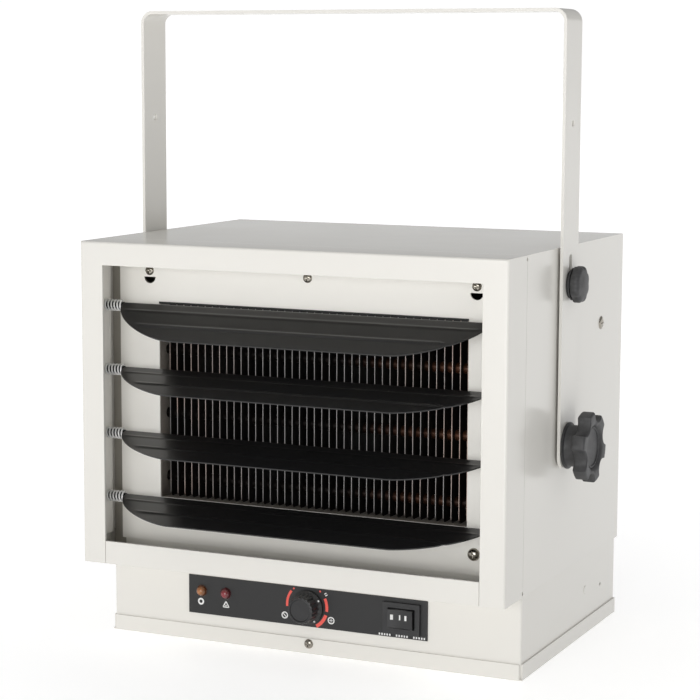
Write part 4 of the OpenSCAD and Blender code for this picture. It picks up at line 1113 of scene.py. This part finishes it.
@dataclass
class Screws:
    """Domed screw heads with a cross slot, in the place of the plain ones."""

    part: Part
    slot_half: float = 0.45 * MM
    slot_depth: float = 1.1 * MM
    slot_reach: float = 0.58
    shank: float = 2.0 * MM
    depth: float = 6.0 * MM
    height: float = 2.0 * MM
    low_height: float = 1.5 * MM
    dome_height: float = 3.6 * MM
    dome_seat: float = 0.3 * MM
    dome_from: float = 4.5 * MM

    def head(self, base: Vector, axis: int, sign: float, radius: float, height: float) -> Surface:
        """Shapes one screw as a turned form.

        The dome is height * (1 - (r/R)**2.6) ** 0.5; a cross of two slots is pressed in wherever the
        point is within half a slot of either centre line and inside the slots' reach.

        Args:
            base: Where the head's underside meets the sheet.
            axis: 0, 1 or 2 for the screw's axis.
            sign: 1 or -1, the way that the head stands out.
            radius: The head's radius.
            height: The head's height.

        Returns:
            The closed surface.
        """
        angle = around(64)[None, :]
        share = np.concatenate([np.linspace(0.0, 0.62, 18), np.linspace(0.66, 1.0, 12)])[:, None]
        dome = height * np.clip(1.0 - share**2.6, 0.0, 1.0) ** 0.5 + 0.0 * angle
        near = radius * share * np.minimum(np.abs(np.cos(angle)), np.abs(np.sin(angle)))
        inside = np.clip((self.slot_reach - share) / 0.08, 0.0, 1.0)
        pressed = np.clip((self.slot_half - near) / (0.35 * self.slot_half) + 0.5, 0.0, 1.0)
        dome = dome - self.slot_depth * pressed * inside * (1.0 - 0.5 * share / self.slot_reach)
        under = np.array([[0.0], [0.0], [-self.depth], [-self.depth]]) + 0.0 * angle
        under_radius = np.array([[radius], [self.shank], [self.shank], [0.05 * MM]]) + 0.0 * angle
        radii = np.concatenate([np.maximum(radius * share, 0.02 * MM) + 0.0 * angle, under_radius])
        return shaped_turn(np.concatenate([dome, under]), radii, angle, base, axis, sign)

    def heads(self, node: str, axis: int, height: float, domed: bool = False) -> None:
        """Builds all the screws of a node, each pointing away from the heater's middle.

        Args:
            node: The node that holds them.
            axis: 0 or 1 for screws along X or Y.
            height: The heads' height.
            domed: Whether its wide heads are higher domes.
        """
        forms = []
        for low, high in solid_boxes(self.part.nodes[node]):
            base = Vector((low + high) / 2)
            sign = 1.0 if base[axis] > 0 else -1.0
            radius = (high[axis - 1] - low[axis - 1]) / 2
            tall, seat = height, 0.0
            if domed and radius > self.dome_from:
                tall, seat = self.dome_height, self.dome_seat
            base[axis] = (high[axis] if sign > 0 else low[axis]) - sign * (tall + seat)
            forms.append(self.head(base, axis, sign, radius, tall))
        name = node.replace("screws", "screw_heads")
        self.part.stand_in(piece(name, forms, SCREW_METAL, sharp=35.0), node)

    def build(self) -> None:
        """Builds the panel, case and index screws."""
        self.heads("panel_screws", 1, self.height, domed=True)
        self.heads("case_screws", 1, self.height)
        self.heads("index_screws", 0, self.low_height)


class Side(Enum):
    """The side that a knob is on."""

    LEFT = "left"
    RIGHT = "right"

    @property
    def sign(self) -> float:
        """Returns 1 on the right and -1 on the left."""
        return 1.0 if self is Side.RIGHT else -1.0

    def reach(self, node: str) -> tuple[float, float]:
        """Returns how far from the middle plane the node starts and ends."""
        low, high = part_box(node)
        start, end = sorted((abs(low.x), abs(high.x)))
        return start, end


@dataclass
class Knob:
    """A moulded knob on its stud, on one side of the cabinet."""

    part: Part
    side: Side

    def mould(self, kind: str, stack: RingStack, start: float, stud: str, edge: float) -> None:
        """Lets the rings stand for the knob's node, and eases its stud.

        Args:
            kind: How the names of the knob and its joint start.
            stack: The knob's rings.
            start: How far from the middle plane they start.
            stud: How the stud's name starts.
            edge: How far the stud's bevel reaches.
        """
        name = f"{kind}_knob_{self.side.value}"
        pivot = self.part.axis_point(f"{kind}_{self.side.value}_turn")
        form = stack.surface(Vector((self.side.sign * start, pivot.y, pivot.z)), 0, self.side.sign)
        self.part.stand_in(piece(name + "_moulding", [form], KNOB_GREY, sharp=50.0), name)
        self.part.eased(f"{stud}_stud_{self.side.value}", ZINC, edge)


@dataclass
class StarKnob(Knob):
    """Six-lobed tilt knob: flared skirt, scalloped head and a dish inside a raised ring."""

    lobes: int = 6
    turn: float = -15.5
    tip: float = 28.0 * MM
    valley: float = 9.5 * MM
    valley_out: float = 2.2 * MM
    flange: float = 18.3 * MM
    neck: float = 16.2 * MM
    ring: float = 15.8 * MM
    dish: float = 2.9 * MM
    head: float = 10.0 * MM
    corner: float = 1.8 * MM
    melt: float = 0.7 * MM

    def rim(self, angle: Array) -> Array:
        """Works out the head's radius round the knob.

        A valley is an arc of the valley's radius about a point at c = tip + valley_out, so its distance
        is c * cos f - sqrt(valley**2 - (c * sin f)**2) at the angle f from its middle. The rim is a
        soft minimum of that and the tip's radius.

        Args:
            angle: Angles round the axis.

        Returns:
            The radii.
        """
        step = 2.0 * np.pi / self.lobes
        f = (angle - math.radians(self.turn)) % step - step / 2
        c = self.tip + self.valley_out
        inside = self.valley**2 - (c * np.sin(f)) ** 2
        arc = np.where(inside > 0.0, c * np.cos(f) - np.sqrt(np.maximum(inside, 0.0)), 2.0 * self.tip)
        return -self.melt * np.log(np.exp(-arc / self.melt) + np.exp(-self.tip / self.melt))

    def build(self) -> None:
        """Builds the knob: rings of the profile whose radius is shared between a circle and the rim."""
        start, end = self.side.reach(f"star_knob_{self.side.value}")
        stack = RingStack(288)
        rim = self.rim(stack.angle)
        face = end - start - 0.1 * MM
        back = face - self.head - 0.8 * MM
        sunk = face - self.dish
        stack.rings(
            (0.0, 4.5 * MM),
            (0.0, self.flange - 0.4 * MM),
            (0.4 * MM, self.flange),
            (1.5 * MM, self.flange),
            (1.9 * MM, self.flange - 0.5 * MM),
            (2.3 * MM, self.neck + 0.3 * MM),
            (3.2 * MM, self.neck),
            (back - 1.2 * MM, self.neck),
            (back, self.neck + 0.8 * MM),
            (back, np.minimum(rim - self.corner, rim * 0.93)),
            *round_under(back, rim, self.corner, 0.15, 5),
            *round_over(face, rim, self.corner, 7),
            (face - 0.2 * MM, np.minimum(rim - self.corner - 0.6 * MM, self.ring + 4.2 * MM)),
            (face - 0.9 * MM, self.ring + 2.0 * MM),
            (sunk, self.ring + 0.9 * MM),
            (sunk, self.ring + 0.2 * MM),
            (sunk + 0.9 * MM, self.ring - 0.1 * MM),
            (sunk + 0.9 * MM, self.ring - 1.0 * MM),
            (sunk, self.ring - 1.3 * MM),
            *[(sunk - 0.5 * MM * (1.0 - share**2), self.ring * share) for share in CROWN_SHARES],
        )
        self.mould("star", stack, start, "pivot", 0.3 * MM)


@dataclass
class LockKnob(Knob):
    """Small fluted knob on the lock stud."""

    flutes: int = 8
    radius: float = 14.5 * MM
    flange: float = 12.6 * MM
    depth: float = 1.1 * MM
    corner: float = 3.0 * MM
    crown: float = 1.0 * MM
    foot: float = 2.5 * MM

    def build(self) -> None:
        """Builds the knob: its rim is radius - depth * (0.5 + 0.5 cos(n a)) ** 1.6, its face is crowned."""
        start, end = self.side.reach(f"lock_knob_{self.side.value}")
        stack = RingStack(192)
        rim = self.radius - self.depth * (0.5 + 0.5 * np.cos(self.flutes * stack.angle)) ** 1.6
        groove = self.flange - 1.8 * MM
        edge = end - start - self.crown
        inner = self.radius - self.corner - self.depth
        stack.rings(
            (0.0, 3.3 * MM),
            (0.0, self.flange - 0.3 * MM),
            (0.3 * MM, self.flange),
            (1.2 * MM, self.flange),
            (1.4 * MM, groove),
            (2.4 * MM, groove),
            (self.foot, rim - 1.2 * MM),
            *round_under(self.foot, rim, 1.0 * MM, 0.2, 4),
            *round_over(edge, rim, self.corner, 7),
            *[(edge + self.crown * (1.0 - share**2), inner * share) for share in CROWN_SHARES],
        )
        self.mould("lock", stack, start, "lock", 0.2 * MM)


def dress_element(part: Part) -> None:
    """Dresses the duct, fins, tubes and terminals behind the window."""
    low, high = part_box("element_fins")
    part.dress(
        ("element_fins", FinSteel("fin_steel", low.y, high.x), None),
        ("element_tubes", HOT_TUBE, 0.0),
        ("element_duct", DUCT_STEEL, 0.0),
        ("fan_baffle", DULLED_AND_SHADED, None),
        ("element_terminals", CERAMIC, 0.2 * MM),
        ("thermal_cutout", BLACK_PLASTIC, 0.2 * MM),
    )


@dataclass
class FanUnit:
    """Fan, motor and the round-wire guard over the intake."""

    part: Part
    rings: int = 5
    spokes: int = 8
    wire: float = 1.2 * MM
    hub: float = 16.0 * MM
    spoke_drop: float = 1.1
    foot: float = 3.5 * MM
    post: float = 2.2 * MM

    def guard(self) -> None:
        """Builds the guard: hoops about the fan's axis, spokes out of a dished hub, and short posts."""
        low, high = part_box("fan_guard")
        centre = (low + high) / 2
        outer = (high.x - low.x) / 2
        plane = high.y - self.wire
        step = (outer - self.hub) / self.rings
        round_wire = around(10)
        about = around(96)[:, None]
        forms = []
        for i in range(self.rings):
            radius = self.hub + (i + 1) * step - self.wire + self.wire * np.cos(round_wire)[None, :]
            points = np.stack(np.broadcast_arrays(
                centre.x + radius * np.cos(about),
                plane + self.wire * np.sin(round_wire)[None, :],
                centre.z + radius * np.sin(about),
            ), axis=-1)
            forms.append(Surface(points, wrap_rows=True, wrap_columns=True))
        for k in range(self.spokes):
            a = 2.0 * np.pi * k / self.spokes
            out = Vector((math.cos(a), 0.0, math.sin(a)))
            middle = Vector((centre.x, plane - self.spoke_drop * self.wire, centre.z))
            start, end = middle + out * (self.hub - 2 * MM), middle + out * (outer - self.wire)
            forms.append(bar(start, end, self.wire, 10))
        dish = [(-2.4 * MM, self.hub - 1 * MM), (-1.2 * MM, self.hub), *round_over(0.0, self.hub, 0.9 * MM),
                (-0.3 * MM, self.hub * 0.6), (-0.6 * MM, 0.05 * MM)]
        forms.append(turned(np.array(dish), Vector((centre.x, high.y, centre.z)), 1, 1.0))
        for k in range(self.spokes):
            a = 2.0 * np.pi * (k + 0.5) / self.spokes
            out = Vector((math.cos(a), 0.0, -math.sin(a))) * (outer - self.wire)
            foot = Vector((centre.x, low.y, centre.z)) + out
            tall = high.y - low.y
            post = [(0.0, 0.05 * MM), (0.0, self.foot), (0.8 * MM, self.foot), (1.4 * MM, self.post),
                    (tall - 0.4 * MM, self.post - 0.2 * MM), (tall - 0.1 * MM, 0.05 * MM)]
            forms.append(turned(np.array(post), foot, 1, 1.0, 20))
        self.part.stand_in(piece("guard_wires", forms, ZINC, sharp=45.0), "fan_guard")

    def dress(self) -> None:
        """Builds the guard and paints what lies behind it."""
        self.guard()
        self.part.dress(
            ("fan", ALUMINIUM, 0.25 * MM),
            ("fan_shaft", ZINC, 0.2 * MM),
            ("motor", MOTOR_GREY, 0.5 * MM),
            ("motor_strap", GALVANISED, 0.2 * MM),
        )


@dataclass
class Controls:
    """Control plate with its print, lamps, thermostat knob and three-step switch."""

    part: Part
    print_rise: float = 0.05 * MM
    dial_centre: tuple[float, float] = (-1.7 * MM, 38.6 * MM)
    arc: float = 17.4 * MM
    line: float = 0.9 * MM
    arc_line: float = 2.4 * MM
    grip: float = 11.0 * MM
    lens_shank: float = 3.15 * MM
    rocker_dip: float = 1.5 * MM
    pin: float = 1.5 * MM

    def _flat(self, outer: Array, inner: Array, closed: bool) -> Surface:
        """Makes a thin raised print between two outlines in the plate's plane.

        Args:
            outer: Points (x, z) of one border.
            inner: Points (x, z) of the other.
            closed: Whether the borders run all the way round.

        Returns:
            A closed ribbon of the print's thickness.
        """
        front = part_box("control_plate")[0].y
        y = np.array([front - self.print_rise, front - self.print_rise, front + 0.02 * MM, front + 0.02 * MM])
        rails = [outer, inner, inner, outer]
        points = np.stack([
            np.stack([rail[:, 0], np.full(len(rail), level), rail[:, 1]], axis=-1)
            for rail, level in zip(rails, y)
        ], axis=1)
        return Surface(points, wrap_rows=closed, wrap_columns=True, cap_rows=not closed)

    def ring(self, x: float, z: float, radius: float, line: float, start: float = 0.0,
             stop: float = 360.0) -> Surface:
        """Prints an arc of a ring.

        Args:
            x: Its middle's x.
            z: Its middle's z.
            radius: Radius of the line's middle.
            line: The line's width.
            start: First angle, in degrees from +X towards +Z.
            stop: Last angle.

        Returns:
            The print.
        """
        closed = stop - start >= 360.0
        turn = np.radians(np.linspace(start, stop, 49, endpoint=not closed))
        unit = np.stack([np.cos(turn), np.sin(turn)], axis=-1)
        outer, inner = (np.array([x, z]) + unit * (radius + half) for half in (line / 2, -line / 2))
        return self._flat(outer, inner, closed)

    def stroke(self, x0: float, z0: float, x1: float, z1: float, line: float) -> Surface:
        """Prints a straight line between two points."""
        start, end = np.array([x0, z0]), np.array([x1, z1])
        side = np.array([z0 - z1, x1 - x0]) / math.hypot(x1 - x0, z1 - z0) * line / 2
        return self._flat(np.array([start + side, end + side]), np.array([start - side, end - side]), False)

    def printing(self) -> None:
        """Prints the plain signs round the lamps, the dial and the switch."""
        amber, red = ((low + high) / 2 for low, high in (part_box("amber_lens"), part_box("red_lens")))
        x, z = self.dial_centre
        low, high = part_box("switch_housing")
        under = low.z - 1.9 * MM
        dot = self.line * 0.8
        sign_z = amber.z - 9.3 * MM
        off_x, on_x, sign_row = x - 19.5 * MM, x + 21.1 * MM, z - 9.4 * MM
        tick, plus = 1.7 * MM, 1.5 * MM
        tri = [(red.x + 3.1 * MM * math.cos(a), sign_z - 0.5 * MM + 3.1 * MM * math.sin(a))
               for a in np.radians([90.0, 210.0, 330.0, 90.0])]
        white = [
            self.ring(amber.x - 0.9 * MM, sign_z + 0.3 * MM, 2.1 * MM, 1.5 * self.line),
            *[self.stroke(*tri[i], *tri[i + 1], self.line) for i in range(3)],
            self.ring(red.x, sign_z - 0.8 * MM, dot / 2.4, dot * 0.8),
            self.ring(off_x, sign_row, 2.4 * MM, self.line),
            self.stroke(off_x - tick, sign_row + tick, off_x + tick, sign_row - tick, self.line * 0.8),
            self.ring(on_x, sign_row, 2.5 * MM, self.line),
            self.stroke(on_x - plus, sign_row, on_x + plus, sign_row, self.line * 0.6),
            self.stroke(on_x, sign_row - plus, on_x, sign_row + plus, self.line * 0.6),
        ]
        for degrees in (36.0, 31.5):
            out = np.array([math.cos(math.radians(degrees)), math.sin(math.radians(degrees))])
            ends = [np.array([x, z]) + reach * out for reach in (18.9 * MM, 21.0 * MM)]
            white.append(self.stroke(*ends[0], *ends[1], 0.8 * MM))
        for i in range(3):
            middle = low.x + (i + 0.5) * (high.x - low.x) / 3 + (i - 1) * 4.2 * MM
            for k in range(-2, 3):
                at = middle + k * 2.2 * MM
                white.append(self.stroke(at, under - 0.8 * MM, at, under + 0.8 * MM, 1.2 * MM))
        arcs = (
            (0.85, 141.0, 186.0), (1.0, -9.0, 26.0), (1.15, -62.0, -19.0),
            (0.5, 129.0, 134.0), (0.5, 46.0, 51.0),
        )
        coral = [self.ring(x, z, self.arc, width * self.arc_line, start, stop) for width, start, stop in arcs]
        self.part.add(piece("white_print", white, WHITE_INK), "cabinet")
        self.part.add(piece("coral_print", coral, CORAL_INK), "cabinet")

    def lenses(self) -> None:
        """Builds both lamp lenses: a collar, a dome and the shank behind the plate."""
        finishes = {
            "amber_lens": ((0.07, 0.018, 0.004), (0.56, 0.20, 0.045)),
            "red_lens": ((0.04, 0.002, 0.004), (0.36, 0.02, 0.035)),
        }
        for name, (rim, heart) in finishes.items():
            low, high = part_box(name)
            radius = (high.x - low.x) / 2
            plane = low.y + radius
            centre = Vector(((low.x + high.x) / 2, plane, (low.z + high.z) / 2))
            turn = np.linspace(0.0, np.pi / 2, 14)
            dome = [(radius * math.sin(a) * 0.98, max(radius * 0.94 * math.cos(a), 0.02 * MM)) for a in turn]
            back, shank = plane - high.y, self.lens_shank
            profile = [(back, 0.05 * MM), (back, shank), (-0.02 * MM, shank), (0.0, radius),
                       (0.5 * MM, radius), (0.7 * MM, radius * 0.95), *dome[1:]]
            finish = LampLens(name + "_plastic", rim, heart, centre, radius)
            form = turned(np.array(profile), centre, 1, -1.0)
            self.part.stand_in(piece(name + "_dome", [form], finish, sharp=50.0), name)

    def dial(self) -> None:
        """Builds the thermostat knob: a skirt, a fluted grip and two white marks that turn with it."""
        low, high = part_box("thermostat_knob")
        centre = Vector(((low.x + high.x) / 2, high.y, (low.z + high.z) / 2))
        tall = high.y - low.y
        skirt = (high.x - low.x) / 2
        grip, lip = self.grip, self.grip - 2.5 * MM
        stack = RingStack(256)
        knurl = grip - 0.55 * MM * (0.5 + 0.5 * np.cos(18 * stack.angle)) ** 1.5
        stack.rings(
            (0.0, 3.3 * MM),
            (0.0, skirt - 0.3 * MM),
            (0.3 * MM, skirt),
            (1.3 * MM, skirt),
            (1.9 * MM, skirt - 0.8 * MM),
            (2.4 * MM, grip + 1.0 * MM),
            (3.2 * MM, knurl + 0.3 * MM),
            (tall - 1.0 * MM, knurl),
            (tall - 0.3 * MM, knurl - 0.25 * MM),
            (tall, knurl - 0.9 * MM),
            (tall, grip - 2.0 * MM),
            (tall - 0.8 * MM, lip),
            *[(tall - 0.8 * MM - 0.3 * MM * (1 - share), lip * share) for share in (0.75, 0.5, 0.25, 0.02)],
        )
        form = stack.surface(centre, 1, -1.0)
        moulding = piece("thermostat_knob_moulding", [form], BLACK_PLASTIC, sharp=45.0)
        self.part.stand_in(moulding, "thermostat_knob")
        marks = []
        for degrees in (31.0, -55.0):
            a = math.radians(degrees)
            start, end = (
                centre + Vector((out * math.cos(a), -rise, out * math.sin(a)))
                for out, rise in ((12.1 * MM, 2.3 * MM), (13.1 * MM, 1.7 * MM))
            )
            marks.append(bar(start, end, 0.75 * MM))
        self.part.add(piece("thermostat_pointer", marks, WHITE_INK, sharp=60.0), "thermostat")

    def rocker(self) -> None:
        """Builds the rocker: a face that dips by the square of the distance from its ends."""
        low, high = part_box("power_rocker")
        x = np.linspace(low.x, high.x, 25)[:, None]
        middle = (low.x + high.x) / 2
        half = (high.x - low.x) / 2
        dip = self.rocker_dip * (1.0 - ((x - middle) / half) ** 2)
        top, bottom = high.z - self.pin, low.z + self.pin
        z = np.array([bottom, bottom + 0.6 * MM, top - 0.6 * MM, top, top, bottom])[None, :]
        y = np.array([0.6 * MM, 0.0, 0.0, 0.6 * MM, high.y - low.y, high.y - low.y])[None, :]
        dipped = np.array([1.0, 1.0, 1.0, 1.0, 0.0, 0.0])[None, :]
        points = np.stack(np.broadcast_arrays(x, low.y + y + dip * dipped, z), axis=-1)
        body = Surface(points, wrap_columns=True, cap_rows=True)
        hinge = self.part.axis_point("rocker_tip")
        pin = bar(Vector((hinge.x, hinge.y, low.z)), Vector((hinge.x, hinge.y, high.z)), self.pin)
        self.part.stand_in(piece("rocker_face", [body, pin], BLACK_PLASTIC, sharp=30.0), "power_rocker")
        mid_z = (top + bottom) / 2 + 1.2 * MM
        marks = []
        for at, line in ((-8.4, 4.2), (-1.0, 1.1), (4.4, 2.6)):
            place = middle + (at + 0.4) * MM
            surface = low.y + self.rocker_dip * (1.0 - ((place - middle) / half) ** 2)
            marks.append(self._upright(place, surface, mid_z, 2.0 * MM, line * MM))
        self.part.add(piece("rocker_marks", marks, WHITE_INK), "rocker")

    def _upright(self, x: float, y: float, z: float, half: float, line: float) -> Surface:
        """Builds a thin upright mark on the rocker's face."""
        outline = np.array([[x - line / 2, z - half], [x + line / 2, z - half],
                            [x + line / 2, z + half], [x - line / 2, z + half]])
        rows = [np.stack([outline[:, 0], np.full(4, level), outline[:, 1]], axis=-1)
                for level in (y - 0.06 * MM, y + 0.25 * MM)]
        return Surface(np.stack(rows), wrap_columns=True, cap_rows=True)

    def dress(self) -> None:
        """Dresses everything on the control plate and behind it."""
        self.part.dress(
            ("control_plate", PLATE_BLACK, 0.1 * MM), ("switch_housing", BLACK_PLASTIC, 0.35 * MM)
        )
        self.printing()
        self.lenses()
        self.dial()
        self.rocker()
        self.part.dress(
            ("thermostat_spindle", ZINC, 0.2 * MM),
            ("thermostat_body", ZINC, None),
            ("lamp_bodies", BLACK_PLASTIC, 0.0),
        )


def dress_interior(part: Part) -> None:
    """Dresses the wiring and small parts that only show from below, behind or with the case open."""
    part.dress(
        ("terminal_block", CERAMIC, 0.3 * MM),
        ("relay", BLACK_PLASTIC, 0.5 * MM),
        ("power_leads", SLEEVING, 0.0),
        ("earth_lead", EARTH_GREEN, 0.0),
        ("capillary", COPPER, 0.0),
        ("grommets", RUBBER, 0.2 * MM),
        ("cable_gland", BLACK_PLASTIC, 0.5 * MM),
        ("weld_nuts", ZINC, None),
    )


@dataclass
class Studio:
    """Floor, lights and the camera at the photograph's viewing angle."""

    eye: tuple[float, float, float] = (0.7088, -1.5684, 0.4605)
    yaw: float = -0.4290
    pitch: float = -0.1324
    roll: float = 0.0038
    lens: float = 109.21
    sensor: float = 36.0
    floor_size: float = 60.0
    floor_drop: float = 0.0002
    floor_glow: float = 0.62
    sky: tuple[tuple[float, float], ...] = ((0.05, 1.02), (0.14, 0.31), (0.9, 0.70))
    right_shade: float = 0.24
    aim: tuple[float, float, float] = (0.0, 0.0, 0.2)

    def camera(self) -> None:
        """Sets the camera from its yaw, pitch and roll.

        It looks along (sin yaw cos pitch, cos yaw cos pitch, sin pitch), and the roll turns its
        right hand side towards its top.
        """
        ahead = Vector((math.sin(self.yaw) * math.cos(self.pitch), math.cos(self.yaw) * math.cos(self.pitch),
                        math.sin(self.pitch)))
        level = ahead.cross(Vector((0.0, 0.0, 1.0))).normalized()
        upright = level.cross(ahead)
        right = level * math.cos(self.roll) + upright * math.sin(self.roll)
        top = upright * math.cos(self.roll) - level * math.sin(self.roll)
        data = bpy.data.cameras.new("camera")
        data.lens = self.lens
        data.sensor_width = self.sensor
        data.sensor_fit = "HORIZONTAL"
        item = placed("camera", data)
        pose = Matrix((right, top, -ahead)).transposed().to_4x4()
        pose.translation = Vector(self.eye)
        item.matrix_world = pose
        bpy.context.scene.camera = item

    def lamp(
        self, name: str, place: tuple[float, float, float], size: tuple[float, float], power: float
    ) -> None:
        """Hangs a soft box that faces the heater.

        Args:
            name: The lamp's name.
            place: Where it hangs.
            size: Its width and height.
            power: Its power in watts.
        """
        data = bpy.data.lights.new(name, "AREA")
        data.shape = "RECTANGLE"
        data.size, data.size_y = size
        data.energy = power
        item = placed(name, data)
        item.location = place
        item.rotation_euler = (Vector(self.aim) - Vector(place)).to_track_quat("-Z", "Y").to_euler()

    def floor(self) -> None:
        """Lays the pale floor under the heater's lowest face."""
        half = self.floor_size / 2
        corners = np.array([[[-half, -half, -self.floor_drop], [half, -half, -self.floor_drop]],
                            [[-half, half, -self.floor_drop], [half, half, -self.floor_drop]]])
        item = piece("floor", [Surface(corners)], FloorPaint("studio_floor", self.floor_glow))

    def world(self) -> None:
        """Fills the surroundings: a white horizon, a greyer tent above it, darker to the right."""
        world = bpy.data.worlds.new("studio")
        world.use_nodes = True
        graph = Graph(world.node_tree)
        parts = graph.node("ShaderNodeSeparateXYZ", inputs={"Vector": graph.node("ShaderNodeTexCoord")})
        stops = [(height, (tone, tone, tone)) for height, tone in self.sky]
        tone = graph.node("ShaderNodeValToRGB", {"stops": stops}, {"Fac": parts.other("Z")})
        shade = graph.node(
            "ShaderNodeMapRange",
            inputs={"Value": parts, "From Min": 0.1, "To Min": 1.0, "To Max": 1.0 - self.right_shade},
        )
        graph.feed(world.node_tree.nodes["Background"], {"Color": tone, "Strength": shade})
        bpy.context.scene.world = world

    def build(self) -> None:
        """Sets the camera, the floor, the lights and how tones are shown."""
        self.camera()
        self.floor()
        self.world()
        self.lamp("front_box", (0.2, -3.0, 0.35), (1.5, 1.2), 33.5)
        self.lamp("glint_box", (1.9, -1.5, 1.6), (0.09, 0.09), 0.6)
        bpy.context.scene.view_settings.view_transform = "Standard"


def main() -> None:
    """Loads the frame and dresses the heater."""
    logging.basicConfig(level=logging.INFO, format="%(name)s: %(message)s")
    part = Part(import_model())
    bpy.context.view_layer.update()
    Cabinet(part).dress()
    for number, slope in enumerate((28.5, 15.5, 13.0, 14.0), start=1):
        Louvre(part, number, slope).build()
    Springs(part).build()
    Screws(part).build()
    for side in Side:
        StarKnob(part, side).build()
        LockKnob(part, side).build()
    dress_element(part)
    FanUnit(part).dress()
    Controls(part).dress()
    dress_interior(part)
    Studio().build()


if __name__ == "__main__":
    main()
